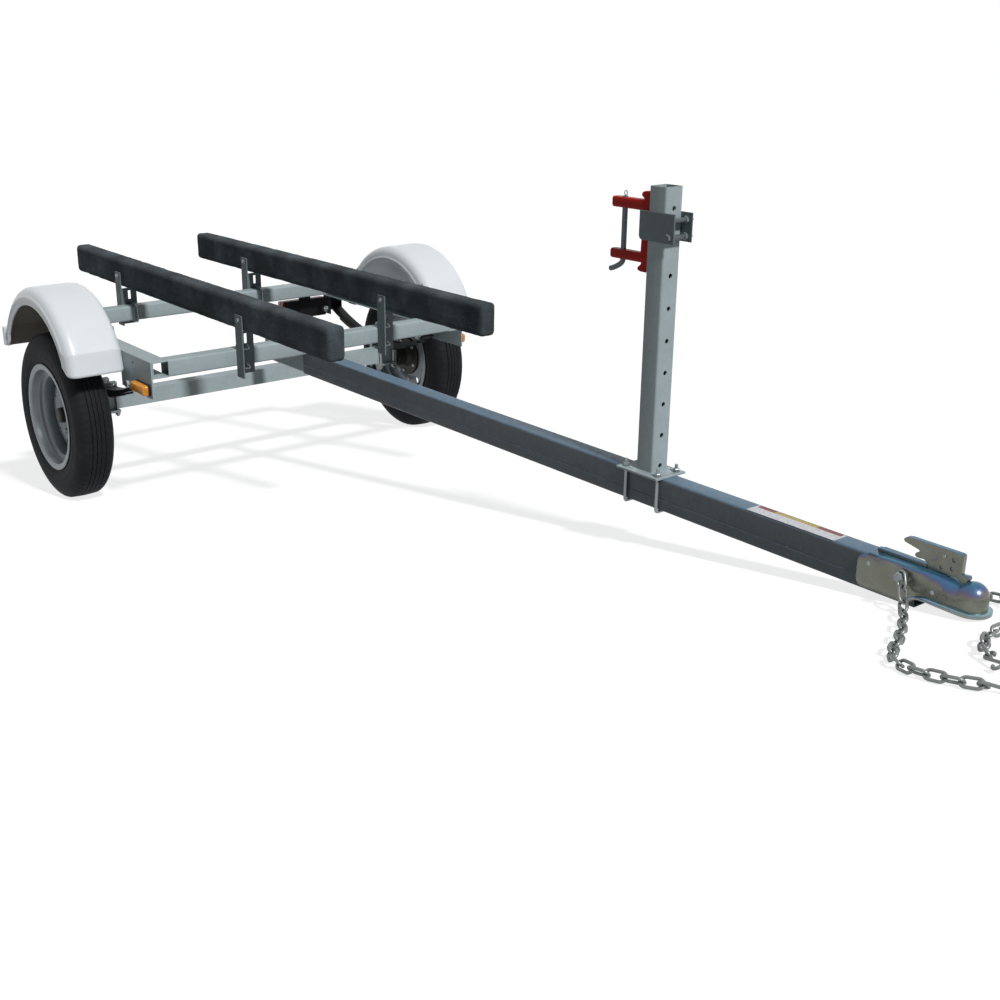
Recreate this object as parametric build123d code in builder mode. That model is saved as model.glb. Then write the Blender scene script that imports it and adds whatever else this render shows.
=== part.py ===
"""A single-axle boat trailer on leaf springs, with two carpeted bunks and a bow post.

Every size is in millimetres. The trailer is described level, with X across (its right-hand
side is -X), -Y towards the hitch, Z up, and the origin on the floor below the axle's middle.
It has no jack, so it parks with the front of its beam let down to the floor: the planes below
turn each piece about the wheels' own axis by that one parking angle, and then move it along so
that the origin is on the floor under the middle of the whole trailer.
"""
from build123d import *
from math import asin, atan2, cos, degrees, hypot, radians, sin
import os

# Steel stock and clearances
wall = 3.0                      # tube and plate wall
seat_gap = 0.3                  # between curved or hanging pieces and what holds them
running_gap = 0.05              # radial, spindle in hub

# Wheels
tyre_radius = 262.0
tyre_width = 121.0
tread_width = 84.0
shoulder_drop = 38.0            # of the tyre's widest part below its tread
sidewall_drop = 66.0
sidewall_tuck = 2.0
wheel_track = 1334.0            # between the wheels' centre planes
rim_flange_radius = 168.0
rim_seat_radius = 152.4
rim_well_radius = 128.0
rim_width = 116.0
rim_wall = 3.5
rim_well_width = 52.0
rim_ramp = 4.0                  # sideways, from the well up to each seat
flange_lean = 1.0
bead_inset = 3.0                # of the tyre's bead inside the rim's flange
disc_thickness = 4.0
disc_offset = 14.0              # wheel disc inboard of the wheel's centre plane
centre_bore_radius = 33.0
lug_circle = 114.3
lug_count = 5
lug_nut_radius = 11.0
lug_nut_length = 16.0
stud_length = 26.0              # beyond the hub's flange
stud_radius = 6.0
vent_count = 10
vent_radius = 9.0
vent_circle = 196.0
hub_radius = 31.0
hub_flange_radius = 70.0
hub_flange_thickness = 9.0
hub_length = 63.0
hub_nose = 12.0                 # of its barrel outboard of the disc
cap_radius = 24.0
cap_length = 30.0
spindle_radius = 15.0
spindle_nose = 10.0             # of the spindle outboard of the disc

# Beam, the short tube in its rear end, and the frame
beam_width = 50.8
beam_height = 76.2
beam_bottom = 373.6
beam_front = -2625.0
beam_rear = -390.0
seam_height = 27.0              # of the lap line above the beam's bottom
seam_depth = 1.2
seam_width = 3.0
rear_tube_width = 44.0
rear_tube_height = 69.6
rear_tube_front = -700.0
rear_tube_end = -140.0          # a little behind the front cross member
member_size = 50.8              # square cross members
front_member_y = -447.0         # its front face
rear_member_y = 359.0           # its front face
rail_inset = 105.4              # its outer face inboard of the wheel's centre plane
rail_flange = 50.8
rail_wall = 4.5
hanger_plate = 4.5
front_hanger_bottom = 390.0
front_hanger_rear = -228.0
rear_hanger_bottom = 428.0      # of the short plates that carry the fenders' rear ends
rear_hanger_y = (214.0, 262.0)

# Axle, springs and hangers
axle_size = 50.8
axle_drop = 22.0                # spindle below the axle tube's middle
axle_overhang = 16.0            # of the tube beyond each spring
drop_plate = 8.0
drop_plate_depth = 20.0         # of each spindle plate below the tube
spring_inset = 131.0            # spring inboard of the wheel's centre plane
spring_width = 44.5
leaf_thickness = 6.0
leaf_ends = (29.3, 21.0, 15.0, 9.5)    # degrees to each side of the axle, top leaf first
spring_radius = 700.0           # of the top leaf's lower face
eye_angle = 23.5
eye_radius = 14.0
eye_bolt_radius = 6.5
eye_bolt_thread = 14.0          # beyond the hanger
eye_bolt_head_radius = 12.0
eye_bolt_head = 8.0
eye_bolt_nut = 10.0
spring_seat = 5.0
tie_plate = 8.0
tie_plate_margin = 12.0         # beyond the spring and the U-bolts' legs
u_bolt_radius = 5.0
u_bolt_thread = 14.0            # below the tie plate
u_bolt_nut_radius = 9.0
u_bolt_nut = 9.0
u_bolt_rise = 4.0               # of its underside above the curved top leaf
keeper_inset = 9.6              # ahead of the top leaf's end
keeper_drop = 14.7              # below the top leaf
hanger_half = 24.0              # half of a hanger's length
hanger_depth = 18.0             # of a hanger below its bolt
hanger_gap = 1.0                # between spring and hanger
keeper_gap = 0.5                # between spring and the keeper's outer plate
keeper_web = 22.0               # length of the plate across the keeper's top
plate_hole_y = -320.0
plate_hole_z = 477.0
plate_hole_radius = 4.0

# Fenders
fender_centre_z = 370.0
fender_radius = 300.0
fender_inset = 100.6            # inboard of the wheel's centre plane
fender_outset = 81.0            # outboard of it
fender_shoulder = 36.0
fender_skirt = 52.0             # depth of the outer side below the crown
fender_back = 95.0              # depth of the side next to the frame
fender_crease_z = 515.0         # where the arch turns into a straight foot
fender_wall = 4.0
fender_end_z = 444.0
foot_lean = 12.0                # degrees, of each foot from upright

# Bunks and their brackets
bunk_front_x = 259.0            # middle of each bunk at its front end
bunk_rear_x = 245.0
bunk_width = 57.0
bunk_height = 99.0
bunk_bottom = 560.0
bunk_front = -974.0
bunk_length = 1790.0
bunk_corner = 10.0
angle_wall = 4.5
angle_depth = 42.0              # of the leaf that stands beside the bunk
angle_width = 58.0              # of the leaf against the cross member
angle_slot = 11.0
slot_rise = 16.0                # of the slot above the frame
slot_drop = 9.0                 # of the slot below the leaf's top
leaf_step = 7.0                 # of the wide leaf's lower edge above the narrow leaf's
bunk_bolt_radius = 4.0
bunk_bolt_thread = 18.0         # beyond the cross member
small_nut_radius = 7.5          # on the bunks' and the post's U-bolts
small_nut = 7.0

# Bow post and what it carries
post_size = 50.8
post_front = -1932.0
post_top = 1090.5
post_hole_radius = 5.5
post_hole_pitch = 72.0
post_holes = 9
first_hole_z = 469.0
base_width = 94.0
base_front = -1968.0
base_rear = -1838.0
base_thickness = 5.0
post_bolt_radius = 4.0
post_bolt_thread = 18.0         # above the base plate
post_bolt_y = (-1955.0, -1855.0)
clamp_front = -1962.0
clamp_rear = -1858.0
clamp_bottom = 974.0
clamp_top = 1037.0
clamp_bolt_y = -1946.0
clamp_bolt_z = (986.0, 1021.0)
clamp_bolt_radius = 5.0
clamp_bolt_thread = 14.0
clamp_head_radius = 9.0
clamp_head = 6.0
clamp_nut = 8.0
yoke_width = 22.0
yoke_tip_y = -1747.0
yoke_bottom = 900.0
yoke_top = 1076.0
yoke_arm_height = 24.0
yoke_arm_z = (928.0, 1043.0)
pin_radius = 6.3
pin_y = -1784.0
pin_head = 12.0                 # above the upper arm

# Coupler and safety chains
coupler_wall = 3.2
coupler_rear = -2496.0
coupler_bottom = 379.0
neck_rear = -2640.0
ball_radius = 25.4
ball_clearance = 0.6
ball_y = -2727.0
ball_z = 428.0
nose_bottom = 402.0
lip_width = 8.0
lip_thickness = 4.5
chain_bolt_y = -2599.0
chain_bolt_z = 434.0
chain_bolt_radius = 5.0
chain_head_radius = 10.0
chain_head = 6.0
latch_width = 11.0
latch_rear = -2576.0
latch_front = -2702.0
latch_top = 502.0
latch_wall = 2.0
latch_corner = 4.0
link_wire = 6.4
link_inside = 30.5
link_width = 24.3
link_bevel = 6.0
link_slack = 0.2
turn_slack = 0.08               # more of it for each degree that a link turns from the last
lean_slack = 2.0                # for the first link, which leans outwards on its bolt
chain_x = 36.5
hook_radius = 8.5
hook_wire = 7.0
hook_turn = 230.0               # degrees of each of its bends
hook_shank = 46.0
hook_sides = 4                  # straight pieces in each bend

# Lights
lamp_length = 98.0
lamp_height = 34.0
lamp_depth = 24.0
lamp_front = -438.0
lamp_bottom = 398.0
lamp_corner = 8.0
tail_width = 193.0
tail_height = 70.0
tail_depth = 44.0
tail_inset = 200.6              # its inner end inboard of the side rail
tail_bottom = 360.0
lens_depth = 26.0
lens_end = 10.0                 # of the lens wrapped round the housing's inner end
tail_strap = 50.0
strap_rise = 10.0               # of the strap's lower end above the lamp's
strap_drop = 8.0                # of its upper end below the frame's top

# Places that follow from the sizes above
wheel_x = wheel_track / 2
spring_x = wheel_x - spring_inset
spring_half = spring_width / 2
rail_outer_x = wheel_x - rail_inset
fender_inner_x = wheel_x - fender_inset
fender_outer_x = wheel_x + fender_outset
tail_inner_x = rail_outer_x - tail_inset
beam_top = beam_bottom + beam_height
frame_bottom = beam_top
frame_top = frame_bottom + member_size
frame_rear = rear_member_y + member_size
rail_inner_x = rail_outer_x - rail_flange
axle_z = tyre_radius + axle_drop
axle_top = axle_z + axle_size / 2
axle_bottom = axle_z - axle_size / 2
spring_bottom = axle_top + spring_seat
spring_pivot_z = spring_bottom + (len(leaf_ends) - 1) * leaf_thickness + spring_radius
spring_top = spring_pivot_z - spring_radius + leaf_thickness
keeper_y = spring_radius * sin(radians(leaf_ends[0])) - keeper_inset
keeper_z = spring_pivot_z - (spring_radius ** 2 - keeper_y ** 2) ** 0.5 - keeper_drop
middle_y = -1109.8              # of the parked trailer's length, from the axle
sides = {"right": -1, "left": 1}
os.makedirs("parts", exist_ok=True)


def touch_angle(y, z):
    """Degrees by which the trailer tips about the wheels' axis until this point is on the floor."""
    rise = z - tyre_radius
    return degrees(asin(tyre_radius / hypot(y, rise)) + atan2(rise, -y))


park_angle = min(touch_angle(beam_front, beam_bottom),
                 touch_angle(ball_y - ball_radius - lip_width, nose_bottom))
along = Vector(0, cos(radians(park_angle)), sin(radians(park_angle)))
upward = Vector(0, -sin(radians(park_angle)), cos(radians(park_angle)))


def parked(x, y, z):
    """The place of a point of the level trailer once it is parked."""
    return Vector(x, -middle_y, tyre_radius) + along * y + upward * (z - tyre_radius)


def level_plane(z):
    """Seen from above: local x is X and local y is Y of the level trailer."""
    return Plane(origin=parked(0, 0, z), x_dir=(1, 0, 0), z_dir=upward)


def side_plane(x):
    """Seen from the left: local x is Y and local y is Z of the level trailer."""
    return Plane(origin=parked(x, 0, 0), x_dir=along, z_dir=(1, 0, 0))


def cross_plane(y):
    """Seen from the front: local x is X and local y is Z of the level trailer."""
    return Plane(origin=parked(0, y, 0), x_dir=(1, 0, 0), z_dir=-along)


def write(piece, label):
    piece.part.label = label
    export_step(piece.part, f"parts/{label}.step")


def block(x, y, z, mode=Mode.ADD):
    """A block between each pair of limits, added to the piece that is open."""
    with BuildSketch(level_plane(z[0])) as outline:
        with Locations(((x[0] + x[1]) / 2, (y[0] + y[1]) / 2)):
            Rectangle(abs(x[1] - x[0]), abs(y[1] - y[0]))
    extrude(outline.sketch, amount=z[1] - z[0], mode=mode)


def cross_bar(y, z, radius, x, mode=Mode.ADD):
    """A round bar or hole across the trailer."""
    with BuildSketch(side_plane(x[0])) as outline:
        with Locations((y, z)):
            Circle(radius)
    extrude(outline.sketch, amount=x[1] - x[0], mode=mode)


def cross_hex(y, z, radius, x):
    """A bolt head or nut whose axis lies across the trailer."""
    with BuildSketch(side_plane(x[0])) as outline:
        with Locations((y, z)):
            RegularPolygon(radius, 6)
    extrude(outline.sketch, amount=x[1] - x[0])


def upright_bar(x, y, radius, z, mode=Mode.ADD):
    """A round bar or hole that stands on the level plane."""
    with BuildSketch(level_plane(z[0])) as outline:
        with Locations((x, y)):
            Circle(radius)
    extrude(outline.sketch, amount=z[1] - z[0], mode=mode)


def upright_hex(x, y, radius, z):
    """A nut whose axis is upright."""
    with BuildSketch(level_plane(z[0])) as outline:
        with Locations((x, y)):
            RegularPolygon(radius, 6)
    extrude(outline.sketch, amount=z[1] - z[0])


def wheel_ring(x, points, mode=Mode.ADD):
    """A body turned about the wheels' axis: points are (across, radius) from plane x."""
    middle = Plane(origin=(x, -middle_y, tyre_radius), x_dir=(1, 0, 0), z_dir=(0, -1, 0))
    with BuildSketch(middle) as section:
        with BuildLine():
            Polyline(*points, close=True)
        make_face()
    revolve(section.sketch, axis=Axis((x, -middle_y, tyre_radius), (1, 0, 0)), mode=mode)


# Wheels: tyre, rim and hub turn together on the spindle
tyre_half = tyre_width / 2
tread_half = tread_width / 2
bead_half = rim_width / 2 - rim_wall - bead_inset
tyre_section = [
    (-tread_half, tyre_radius), (tread_half, tyre_radius), (tyre_half, tyre_radius - shoulder_drop),
    (tyre_half - sidewall_tuck, tyre_radius - sidewall_drop), (bead_half, rim_seat_radius + seat_gap),
    (-bead_half, rim_seat_radius + seat_gap), (sidewall_tuck - tyre_half, tyre_radius - sidewall_drop),
    (-tyre_half, tyre_radius - shoulder_drop)]
rim_half = rim_width / 2
well_half = rim_well_width / 2
seat_inner = well_half + rim_ramp
flange_foot = rim_half - rim_wall - flange_lean
seat_under = rim_seat_radius - rim_wall
well_under = rim_well_radius - rim_wall
rim_section = [
    (-rim_half, rim_flange_radius), (rim_wall - rim_half, rim_flange_radius),
    (-flange_foot, rim_seat_radius), (-seat_inner, rim_seat_radius),
    (-well_half, rim_well_radius), (well_half, rim_well_radius),
    (seat_inner, rim_seat_radius), (flange_foot, rim_seat_radius),
    (rim_half - rim_wall, rim_flange_radius), (rim_half, rim_flange_radius),
    (rim_half, seat_under), (seat_inner + rim_wall, seat_under),
    (well_half + rim_wall, well_under), (-well_half - rim_wall, well_under),
    (-seat_inner - rim_wall, seat_under), (-rim_half, seat_under)]
hub_face = disc_offset + disc_thickness / 2     # inboard of the wheel's centre plane
wheel_plane = Plane(origin=(0, -middle_y, tyre_radius), x_dir=(0, 1, 0), z_dir=(1, 0, 0))
for name, side in sides.items():
    with BuildPart() as tyre:
        wheel_ring(side * wheel_x, tyre_section)
    write(tyre, f"tyre_{name}")

    disc_x = side * (wheel_x - disc_offset)
    with BuildPart() as rim:
        wheel_ring(side * wheel_x, rim_section)
        with BuildSketch(wheel_plane.offset(disc_x)) as disc:
            Circle(rim_well_radius - rim_wall / 2)
            Circle(centre_bore_radius, mode=Mode.SUBTRACT)
            with PolarLocations(lug_circle / 2, lug_count):
                Circle(stud_radius + seat_gap, mode=Mode.SUBTRACT)
            with PolarLocations(vent_circle / 2, vent_count):
                Circle(vent_radius, mode=Mode.SUBTRACT)
        extrude(disc.sketch, amount=disc_thickness / 2, both=True)
    write(rim, f"rim_{name}")

    inboard = wheel_x - hub_face - hub_flange_thickness     # inner face of the hub's flange
    with BuildPart() as hub:
        flange = (side * inboard, side * (wheel_x - hub_face))
        barrel = (side * (wheel_x - hub_face - hub_length), side * (wheel_x - disc_offset + hub_nose))
        with BuildSketch(wheel_plane.offset(flange[0])) as plate:
            Circle(hub_flange_radius)
        extrude(plate.sketch, amount=flange[1] - flange[0])
        with BuildSketch(wheel_plane.offset(barrel[0])) as body:
            Circle(hub_radius)
        extrude(body.sketch, amount=barrel[1] - barrel[0])
        with BuildSketch(wheel_plane.offset(barrel[1])) as cap:
            Circle(cap_radius)
        extrude(cap.sketch, amount=side * cap_length)
        with BuildSketch(wheel_plane.offset(flange[1])) as studs:
            with PolarLocations(lug_circle / 2, lug_count):
                Circle(stud_radius)
        extrude(studs.sketch, amount=side * stud_length)
        with BuildSketch(wheel_plane.offset(side * (wheel_x - disc_offset + disc_thickness / 2))) as nuts:
            with PolarLocations(lug_circle / 2, lug_count):
                RegularPolygon(lug_nut_radius, 6)
        extrude(nuts.sketch, amount=side * lug_nut_length)
        with BuildSketch(wheel_plane.offset(barrel[0])) as bore:
            Circle(spindle_radius + running_gap)
        extrude(bore.sketch, amount=barrel[1] - barrel[0], mode=Mode.SUBTRACT)
    write(hub, f"hub_{name}")

# Axle: a square tube with a dropped spindle plate at each end
spindle_end = wheel_x - disc_offset + spindle_nose
tube_end = spring_x + spring_half + axle_overhang
axle_half = axle_size / 2
axle_bore = axle_half - wall
with BuildPart() as axle:
    block((-tube_end, tube_end), (-axle_half, axle_half), (axle_bottom, axle_top))
    block((-tube_end, tube_end), (-axle_bore, axle_bore), (axle_z - axle_bore, axle_z + axle_bore), Mode.SUBTRACT)
    for side in sides.values():
        start = side * tube_end
        block((start, start + side * drop_plate), (-axle_half, axle_half), (axle_bottom - drop_plate_depth, axle_top))
        cross_bar(0, tyre_radius, spindle_radius, (start, side * spindle_end))
write(axle, "axle")

# Leaf springs, their seats and U-bolts
for name, side in sides.items():
    spring_sides = (side * spring_x - spring_half, side * spring_x + spring_half)
    swing = Axis(parked(side * spring_x, 0, spring_pivot_z), (1, 0, 0))
    with BuildPart() as spring:
        for leaf, end in enumerate(leaf_ends):
            leaf_radius = spring_radius + leaf * leaf_thickness
            front = eye_angle if leaf == 0 else end
            with BuildSketch(cross_plane(0)) as section:
                with Locations((side * spring_x, spring_pivot_z - leaf_radius + leaf_thickness / 2)):
                    Rectangle(spring_width, leaf_thickness)
            turned = section.sketch.rotate(swing, -front)
            revolve(turned, axis=swing, revolution_arc=front + end)
        eye_y = -(spring_radius - eye_radius) * sin(radians(eye_angle))
        eye_z = spring_pivot_z - (spring_radius - eye_radius) * cos(radians(eye_angle))
        cross_bar(eye_y, eye_z, eye_radius, spring_sides)
        cross_bar(eye_y, eye_z, eye_bolt_radius + seat_gap, spring_sides, Mode.SUBTRACT)
    write(spring, f"leaf_spring_{name}")

spring_leg_x = spring_half + u_bolt_radius + seat_gap
spring_leg_y = axle_half + u_bolt_radius + seat_gap
tie_x = spring_half + tie_plate_margin
tie_y = spring_leg_y + tie_plate_margin
tie_bottom = axle_bottom - tie_plate
u_bolt_bottom = spring_top + u_bolt_rise        # of the bar across the top leaf
with BuildPart() as clamps:
    for middle in (-spring_x, spring_x):
        block((middle - spring_half, middle + spring_half), (-axle_half, axle_half), (axle_top, spring_bottom))
        block((middle - tie_x, middle + tie_x), (-tie_y, tie_y), (tie_bottom, axle_bottom))
        for y in (-spring_leg_y, spring_leg_y):
            for x in (middle - spring_leg_x, middle + spring_leg_x):
                upright_bar(x, y, u_bolt_radius, (tie_bottom - u_bolt_thread, spring_top + u_bolt_radius * 2))
                upright_hex(x, y, u_bolt_nut_radius, (tie_bottom - u_bolt_nut, tie_bottom))
            block((middle - spring_leg_x, middle + spring_leg_x), (y - u_bolt_radius, y + u_bolt_radius),
                  (u_bolt_bottom, u_bolt_bottom + 2 * u_bolt_radius))
write(clamps, "axle_clamps")

# Beam: a lapped rectangular tube, with a short smaller tube telescoped into its rear end
beam_half = beam_width / 2
with BuildPart() as beam:
    block((-beam_half, beam_half), (beam_front, beam_rear), (beam_bottom, beam_top))
    block((-beam_half + wall, beam_half - wall), (beam_front, beam_rear),
          (beam_bottom + wall, beam_top - wall), Mode.SUBTRACT)
    seam = (beam_bottom + seam_height, beam_bottom + seam_height + seam_width)
    for side in sides.values():
        block((side * (beam_half - seam_depth), side * beam_half), (beam_front, beam_rear), seam, Mode.SUBTRACT)
    cross_bar(chain_bolt_y, chain_bolt_z, chain_bolt_radius, (-beam_half, beam_half), Mode.SUBTRACT)
write(beam, "main_beam")

tube_half = rear_tube_width / 2
tube_bottom = beam_bottom + wall
tube_top = tube_bottom + rear_tube_height
with BuildPart() as rear_tube:
    block((-tube_half, tube_half), (rear_tube_front, rear_tube_end), (tube_bottom, tube_top))
    block((-tube_half + wall, tube_half - wall), (rear_tube_front, rear_tube_end),
          (tube_bottom + wall, tube_top - wall), Mode.SUBTRACT)
write(rear_tube, "beam_rear_tube")

# Cross members and side rails
for label, y in (("front_cross_member", front_member_y), ("rear_cross_member", rear_member_y)):
    with BuildPart() as member:
        block((-rail_inner_x, rail_inner_x), (y, y + member_size), (frame_bottom, frame_top))
        block((-rail_inner_x, rail_inner_x), (y + wall, y + member_size - wall),
              (frame_bottom + wall, frame_top - wall), Mode.SUBTRACT)
    write(member, label)

for name, side in sides.items():
    with BuildPart() as rail:
        block((side * rail_inner_x, side * rail_outer_x), (front_member_y, frame_rear), (frame_bottom, frame_top))
        block((side * rail_inner_x, side * (rail_outer_x - rail_wall)), (front_member_y, frame_rear),
              (frame_bottom + rail_wall, frame_top - rail_wall), Mode.SUBTRACT)
    write(rail, f"side_rail_{name}")

hanger_outer_x = spring_x - spring_half - hanger_gap     # of the inboard plates
hanger_inner_x = hanger_outer_x - hanger_plate
plate_face = rail_outer_x + hanger_plate
leaf_top = keeper_z + keeper_drop + leaf_thickness
pivots = [
    # y, z and the bolt's outer end
    (eye_y, eye_z, plate_face),
    (keeper_y, keeper_z, rail_outer_x),
]
with BuildPart() as hanger:
    for side in sides.values():
        plate_sides = (side * rail_outer_x, side * plate_face)
        block(plate_sides, (front_member_y, front_hanger_rear), (front_hanger_bottom, frame_top))
        block(plate_sides, rear_hanger_y, (rear_hanger_bottom, frame_top))
        cross_bar(eye_y, eye_z, eye_bolt_radius + seat_gap, plate_sides, Mode.SUBTRACT)
        cross_bar(plate_hole_y, plate_hole_z, plate_hole_radius, plate_sides, Mode.SUBTRACT)
write(hanger, "hanger_plates")

with BuildPart() as hangers:
    for side in sides.values():
        for y, z, _ in pivots:
            block((side * hanger_outer_x, side * hanger_inner_x), (y - hanger_half, y + hanger_half),
                  (z - hanger_depth, frame_bottom))
        block((side * (spring_x + spring_half + keeper_gap), side * rail_outer_x),
              (keeper_y - hanger_half, keeper_y + hanger_half), (keeper_z - hanger_depth, frame_bottom))
        web_front = keeper_y - hanger_half
        block((side * hanger_inner_x, side * rail_outer_x), (web_front, web_front + keeper_web),
              (leaf_top + hanger_gap, frame_bottom))
        for y, z, _ in pivots:
            cross_bar(y, z, eye_bolt_radius + seat_gap, (side * hanger_inner_x, side * rail_outer_x), Mode.SUBTRACT)
write(hangers, "spring_hangers")

with BuildPart() as bolts:
    for side in sides.values():
        for y, z, end in pivots:
            bolt = (side * (hanger_inner_x - eye_bolt_thread), side * (end + eye_bolt_head))
            cross_bar(y, z, eye_bolt_radius, bolt)
            cross_hex(y, z, eye_bolt_head_radius, (side * (hanger_inner_x - eye_bolt_nut), side * hanger_inner_x))
            cross_hex(y, z, eye_bolt_head_radius, (side * end, side * (end + eye_bolt_head)))
write(bolts, "spring_bolts")

# Fenders: an arched shell with rounded shoulders, a bead on each skirt and a straight foot at each end
crease_sweep = 90 - degrees(asin((fender_crease_z - fender_centre_z) / fender_radius))
for name, side in sides.items():
    frame_side = side * fender_inner_x
    road_side = side * fender_outer_x
    crown = fender_centre_z + fender_radius
    low = crown - fender_skirt
    back = crown - fender_back
    swing = Axis(parked(0, 0, fender_centre_z), (1, 0, 0))
    with BuildPart() as fender:
        with BuildSketch(cross_plane(0)) as section:
            with BuildLine():
                skin = [(frame_side, back), (frame_side, crown), (road_side, crown), (road_side, low)]
                FilletPolyline(*skin, radius=fender_shoulder)
                lining = [(road_side - side * fender_wall, low), (road_side - side * fender_wall, crown - fender_wall),
                          (frame_side + side * fender_wall, crown - fender_wall),
                          (frame_side + side * fender_wall, back)]
                FilletPolyline(*lining, radius=fender_shoulder - fender_wall)
                Line(skin[-1], lining[0])
                Line(lining[-1], skin[0])
            make_face()
        revolve(section.sketch.rotate(swing, -crease_sweep), axis=swing, revolution_arc=2 * crease_sweep)
        for end in (-1, 1):
            lean = along * end * sin(radians(foot_lean)) - upward * cos(radians(foot_lean))
            extrude(section.sketch.rotate(swing, -end * crease_sweep), amount=fender_radius / 2, dir=lean)
            block((frame_side, road_side), (0, end * 2 * fender_radius),
                  (fender_end_z - fender_radius, fender_end_z), Mode.SUBTRACT)
    write(fender, f"fender_{name}")

# Bunks: carpeted timbers on edge, a little closer together at the rear
def bunk_edge(side, y):
    """The right-hand face of a bunk."""
    middle = bunk_front_x + (bunk_rear_x - bunk_front_x) * (y - bunk_front) / bunk_length
    return side * middle - bunk_width / 2


for name, side in sides.items():
    with BuildPart() as bunk:
        with BuildSketch(cross_plane(bunk_front)) as section:
            with Locations((bunk_edge(side, bunk_front) + bunk_width / 2, bunk_bottom + bunk_height / 2)):
                RectangleRounded(bunk_width, bunk_height, bunk_corner)
        drift = Vector(side * (bunk_rear_x - bunk_front_x), 0, 0)
        extrude(section.sketch, amount=bunk_length, dir=along * bunk_length + drift)
    write(bunk, f"bunk_{name}")

# Bunk brackets: upright angles beside each bunk, one pair against the front of the front cross
# member and the other against the back of the rear one
bracket_sizes = [
    # place, the member's face, which way the narrow leaf stands out, lower end, its top, the wide leaf's top
    ("front", front_member_y, -1, 418.0, 608.0, 556.0),
    ("rear", frame_rear, 1, 424.0, 612.0, 556.0),
]


def bracket_edge(side, face, out):
    """The x of a bracket's face beside the bunk."""
    return min(bunk_edge(side, face), bunk_edge(side, face + out * angle_depth)) - seat_gap


slot_offset = (angle_width - angle_wall) / 2    # of the slot and the U-bolt from the face beside the bunk
bunk_bolt_hole = bunk_bolt_radius + seat_gap
bunk_bolt_z = (frame_bottom - bunk_bolt_hole, frame_top + bunk_bolt_hole)
for place, face, out, foot, top, shoulder in bracket_sizes:
    seat = (face, face + out * angle_wall)
    for name, side in sides.items():
        edge = bracket_edge(side, face, out)
        slot_x = edge + slot_offset
        with BuildPart() as bracket:
            block((edge - angle_wall, edge), (face, face + out * angle_depth), (foot, top))
            block((edge - angle_wall, edge - angle_wall + angle_width), seat, (foot + leaf_step, shoulder))
            block((slot_x - angle_slot / 2, slot_x + angle_slot / 2), seat,
                  (frame_top + slot_rise, shoulder - slot_drop), Mode.SUBTRACT)
            for z in bunk_bolt_z:
                block((slot_x - bunk_bolt_hole, slot_x + bunk_bolt_hole), seat,
                      (z - bunk_bolt_hole, z + bunk_bolt_hole), Mode.SUBTRACT)
        write(bracket, f"bunk_bracket_{place}_{name}")

# U-bolts that hold the brackets to the cross members
with BuildPart() as bolts:
    for _, face, out, *_ in bracket_sizes:
        far = face - out * (member_size + seat_gap + 2 * bunk_bolt_radius)
        for side in sides.values():
            slot_x = bracket_edge(side, face, out) + slot_offset
            for z in bunk_bolt_z:
                with BuildSketch(cross_plane(far)) as leg:
                    with Locations((slot_x, z)):
                        Circle(bunk_bolt_radius)
                extrude(leg.sketch, amount=far - face - out * bunk_bolt_thread)
                with BuildSketch(cross_plane(face + out * angle_wall)) as nut:
                    with Locations((slot_x, z)):
                        RegularPolygon(small_nut_radius, 6)
                extrude(nut.sketch, amount=-out * small_nut)
            block((slot_x - bunk_bolt_radius, slot_x + bunk_bolt_radius), (far, far + out * 2 * bunk_bolt_radius),
                  (bunk_bolt_z[0] - bunk_bolt_radius, bunk_bolt_z[1] + bunk_bolt_radius))
write(bolts, "bunk_u_bolts")

# Bow post on its base plate
post_rear = post_front + post_size
post_half = post_size / 2
base_top = beam_top + base_thickness
with BuildPart() as post:
    block((-post_half, post_half), (post_front, post_rear), (base_top, post_top))
    block((-post_half + wall, post_half - wall), (post_front + wall, post_rear - wall),
          (base_top, post_top), Mode.SUBTRACT)
    with BuildSketch(cross_plane(post_rear)) as holes:
        with Locations((0, first_hole_z + post_hole_pitch * (post_holes - 1) / 2)):
            with GridLocations(post_hole_pitch, post_hole_pitch, 1, post_holes):
                Circle(post_hole_radius)
    extrude(holes.sketch, amount=post_size, mode=Mode.SUBTRACT)
write(post, "bow_post")

post_leg_x = beam_half + post_bolt_radius + seat_gap
post_bolt_bottom = beam_bottom - seat_gap - post_bolt_radius
with BuildPart() as base:
    block((-base_width / 2, base_width / 2), (base_front, base_rear), (beam_top, base_top))
    for y in post_bolt_y:
        for x in (-post_leg_x, post_leg_x):
            upright_bar(x, y, post_bolt_radius + seat_gap, (beam_top, base_top), Mode.SUBTRACT)
write(base, "post_base_plate")

with BuildPart() as post_bolts:
    for y in post_bolt_y:
        for x in (-post_leg_x, post_leg_x):
            upright_bar(x, y, post_bolt_radius, (post_bolt_bottom, base_top + post_bolt_thread))
            upright_hex(x, y, small_nut_radius, (base_top, base_top + small_nut))
        with BuildSketch(side_plane(-post_leg_x)) as bottom:
            with Locations((y, post_bolt_bottom)):
                Circle(post_bolt_radius)
        extrude(bottom.sketch, amount=2 * post_leg_x)
write(post_bolts, "post_u_bolts")

# Bow stop: clamp plates on the post, the red yoke behind it and its drop pin
clamp_x = post_half + wall
with BuildPart() as clamp_plates:
    for side in sides.values():
        block((side * post_half, side * clamp_x), (clamp_front, clamp_rear), (clamp_bottom, clamp_top))
        for z in clamp_bolt_z:
            cross_bar(clamp_bolt_y, z, clamp_bolt_radius + seat_gap, (side * post_half, side * clamp_x),
                      Mode.SUBTRACT)
write(clamp_plates, "bow_clamp_plates")

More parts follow.
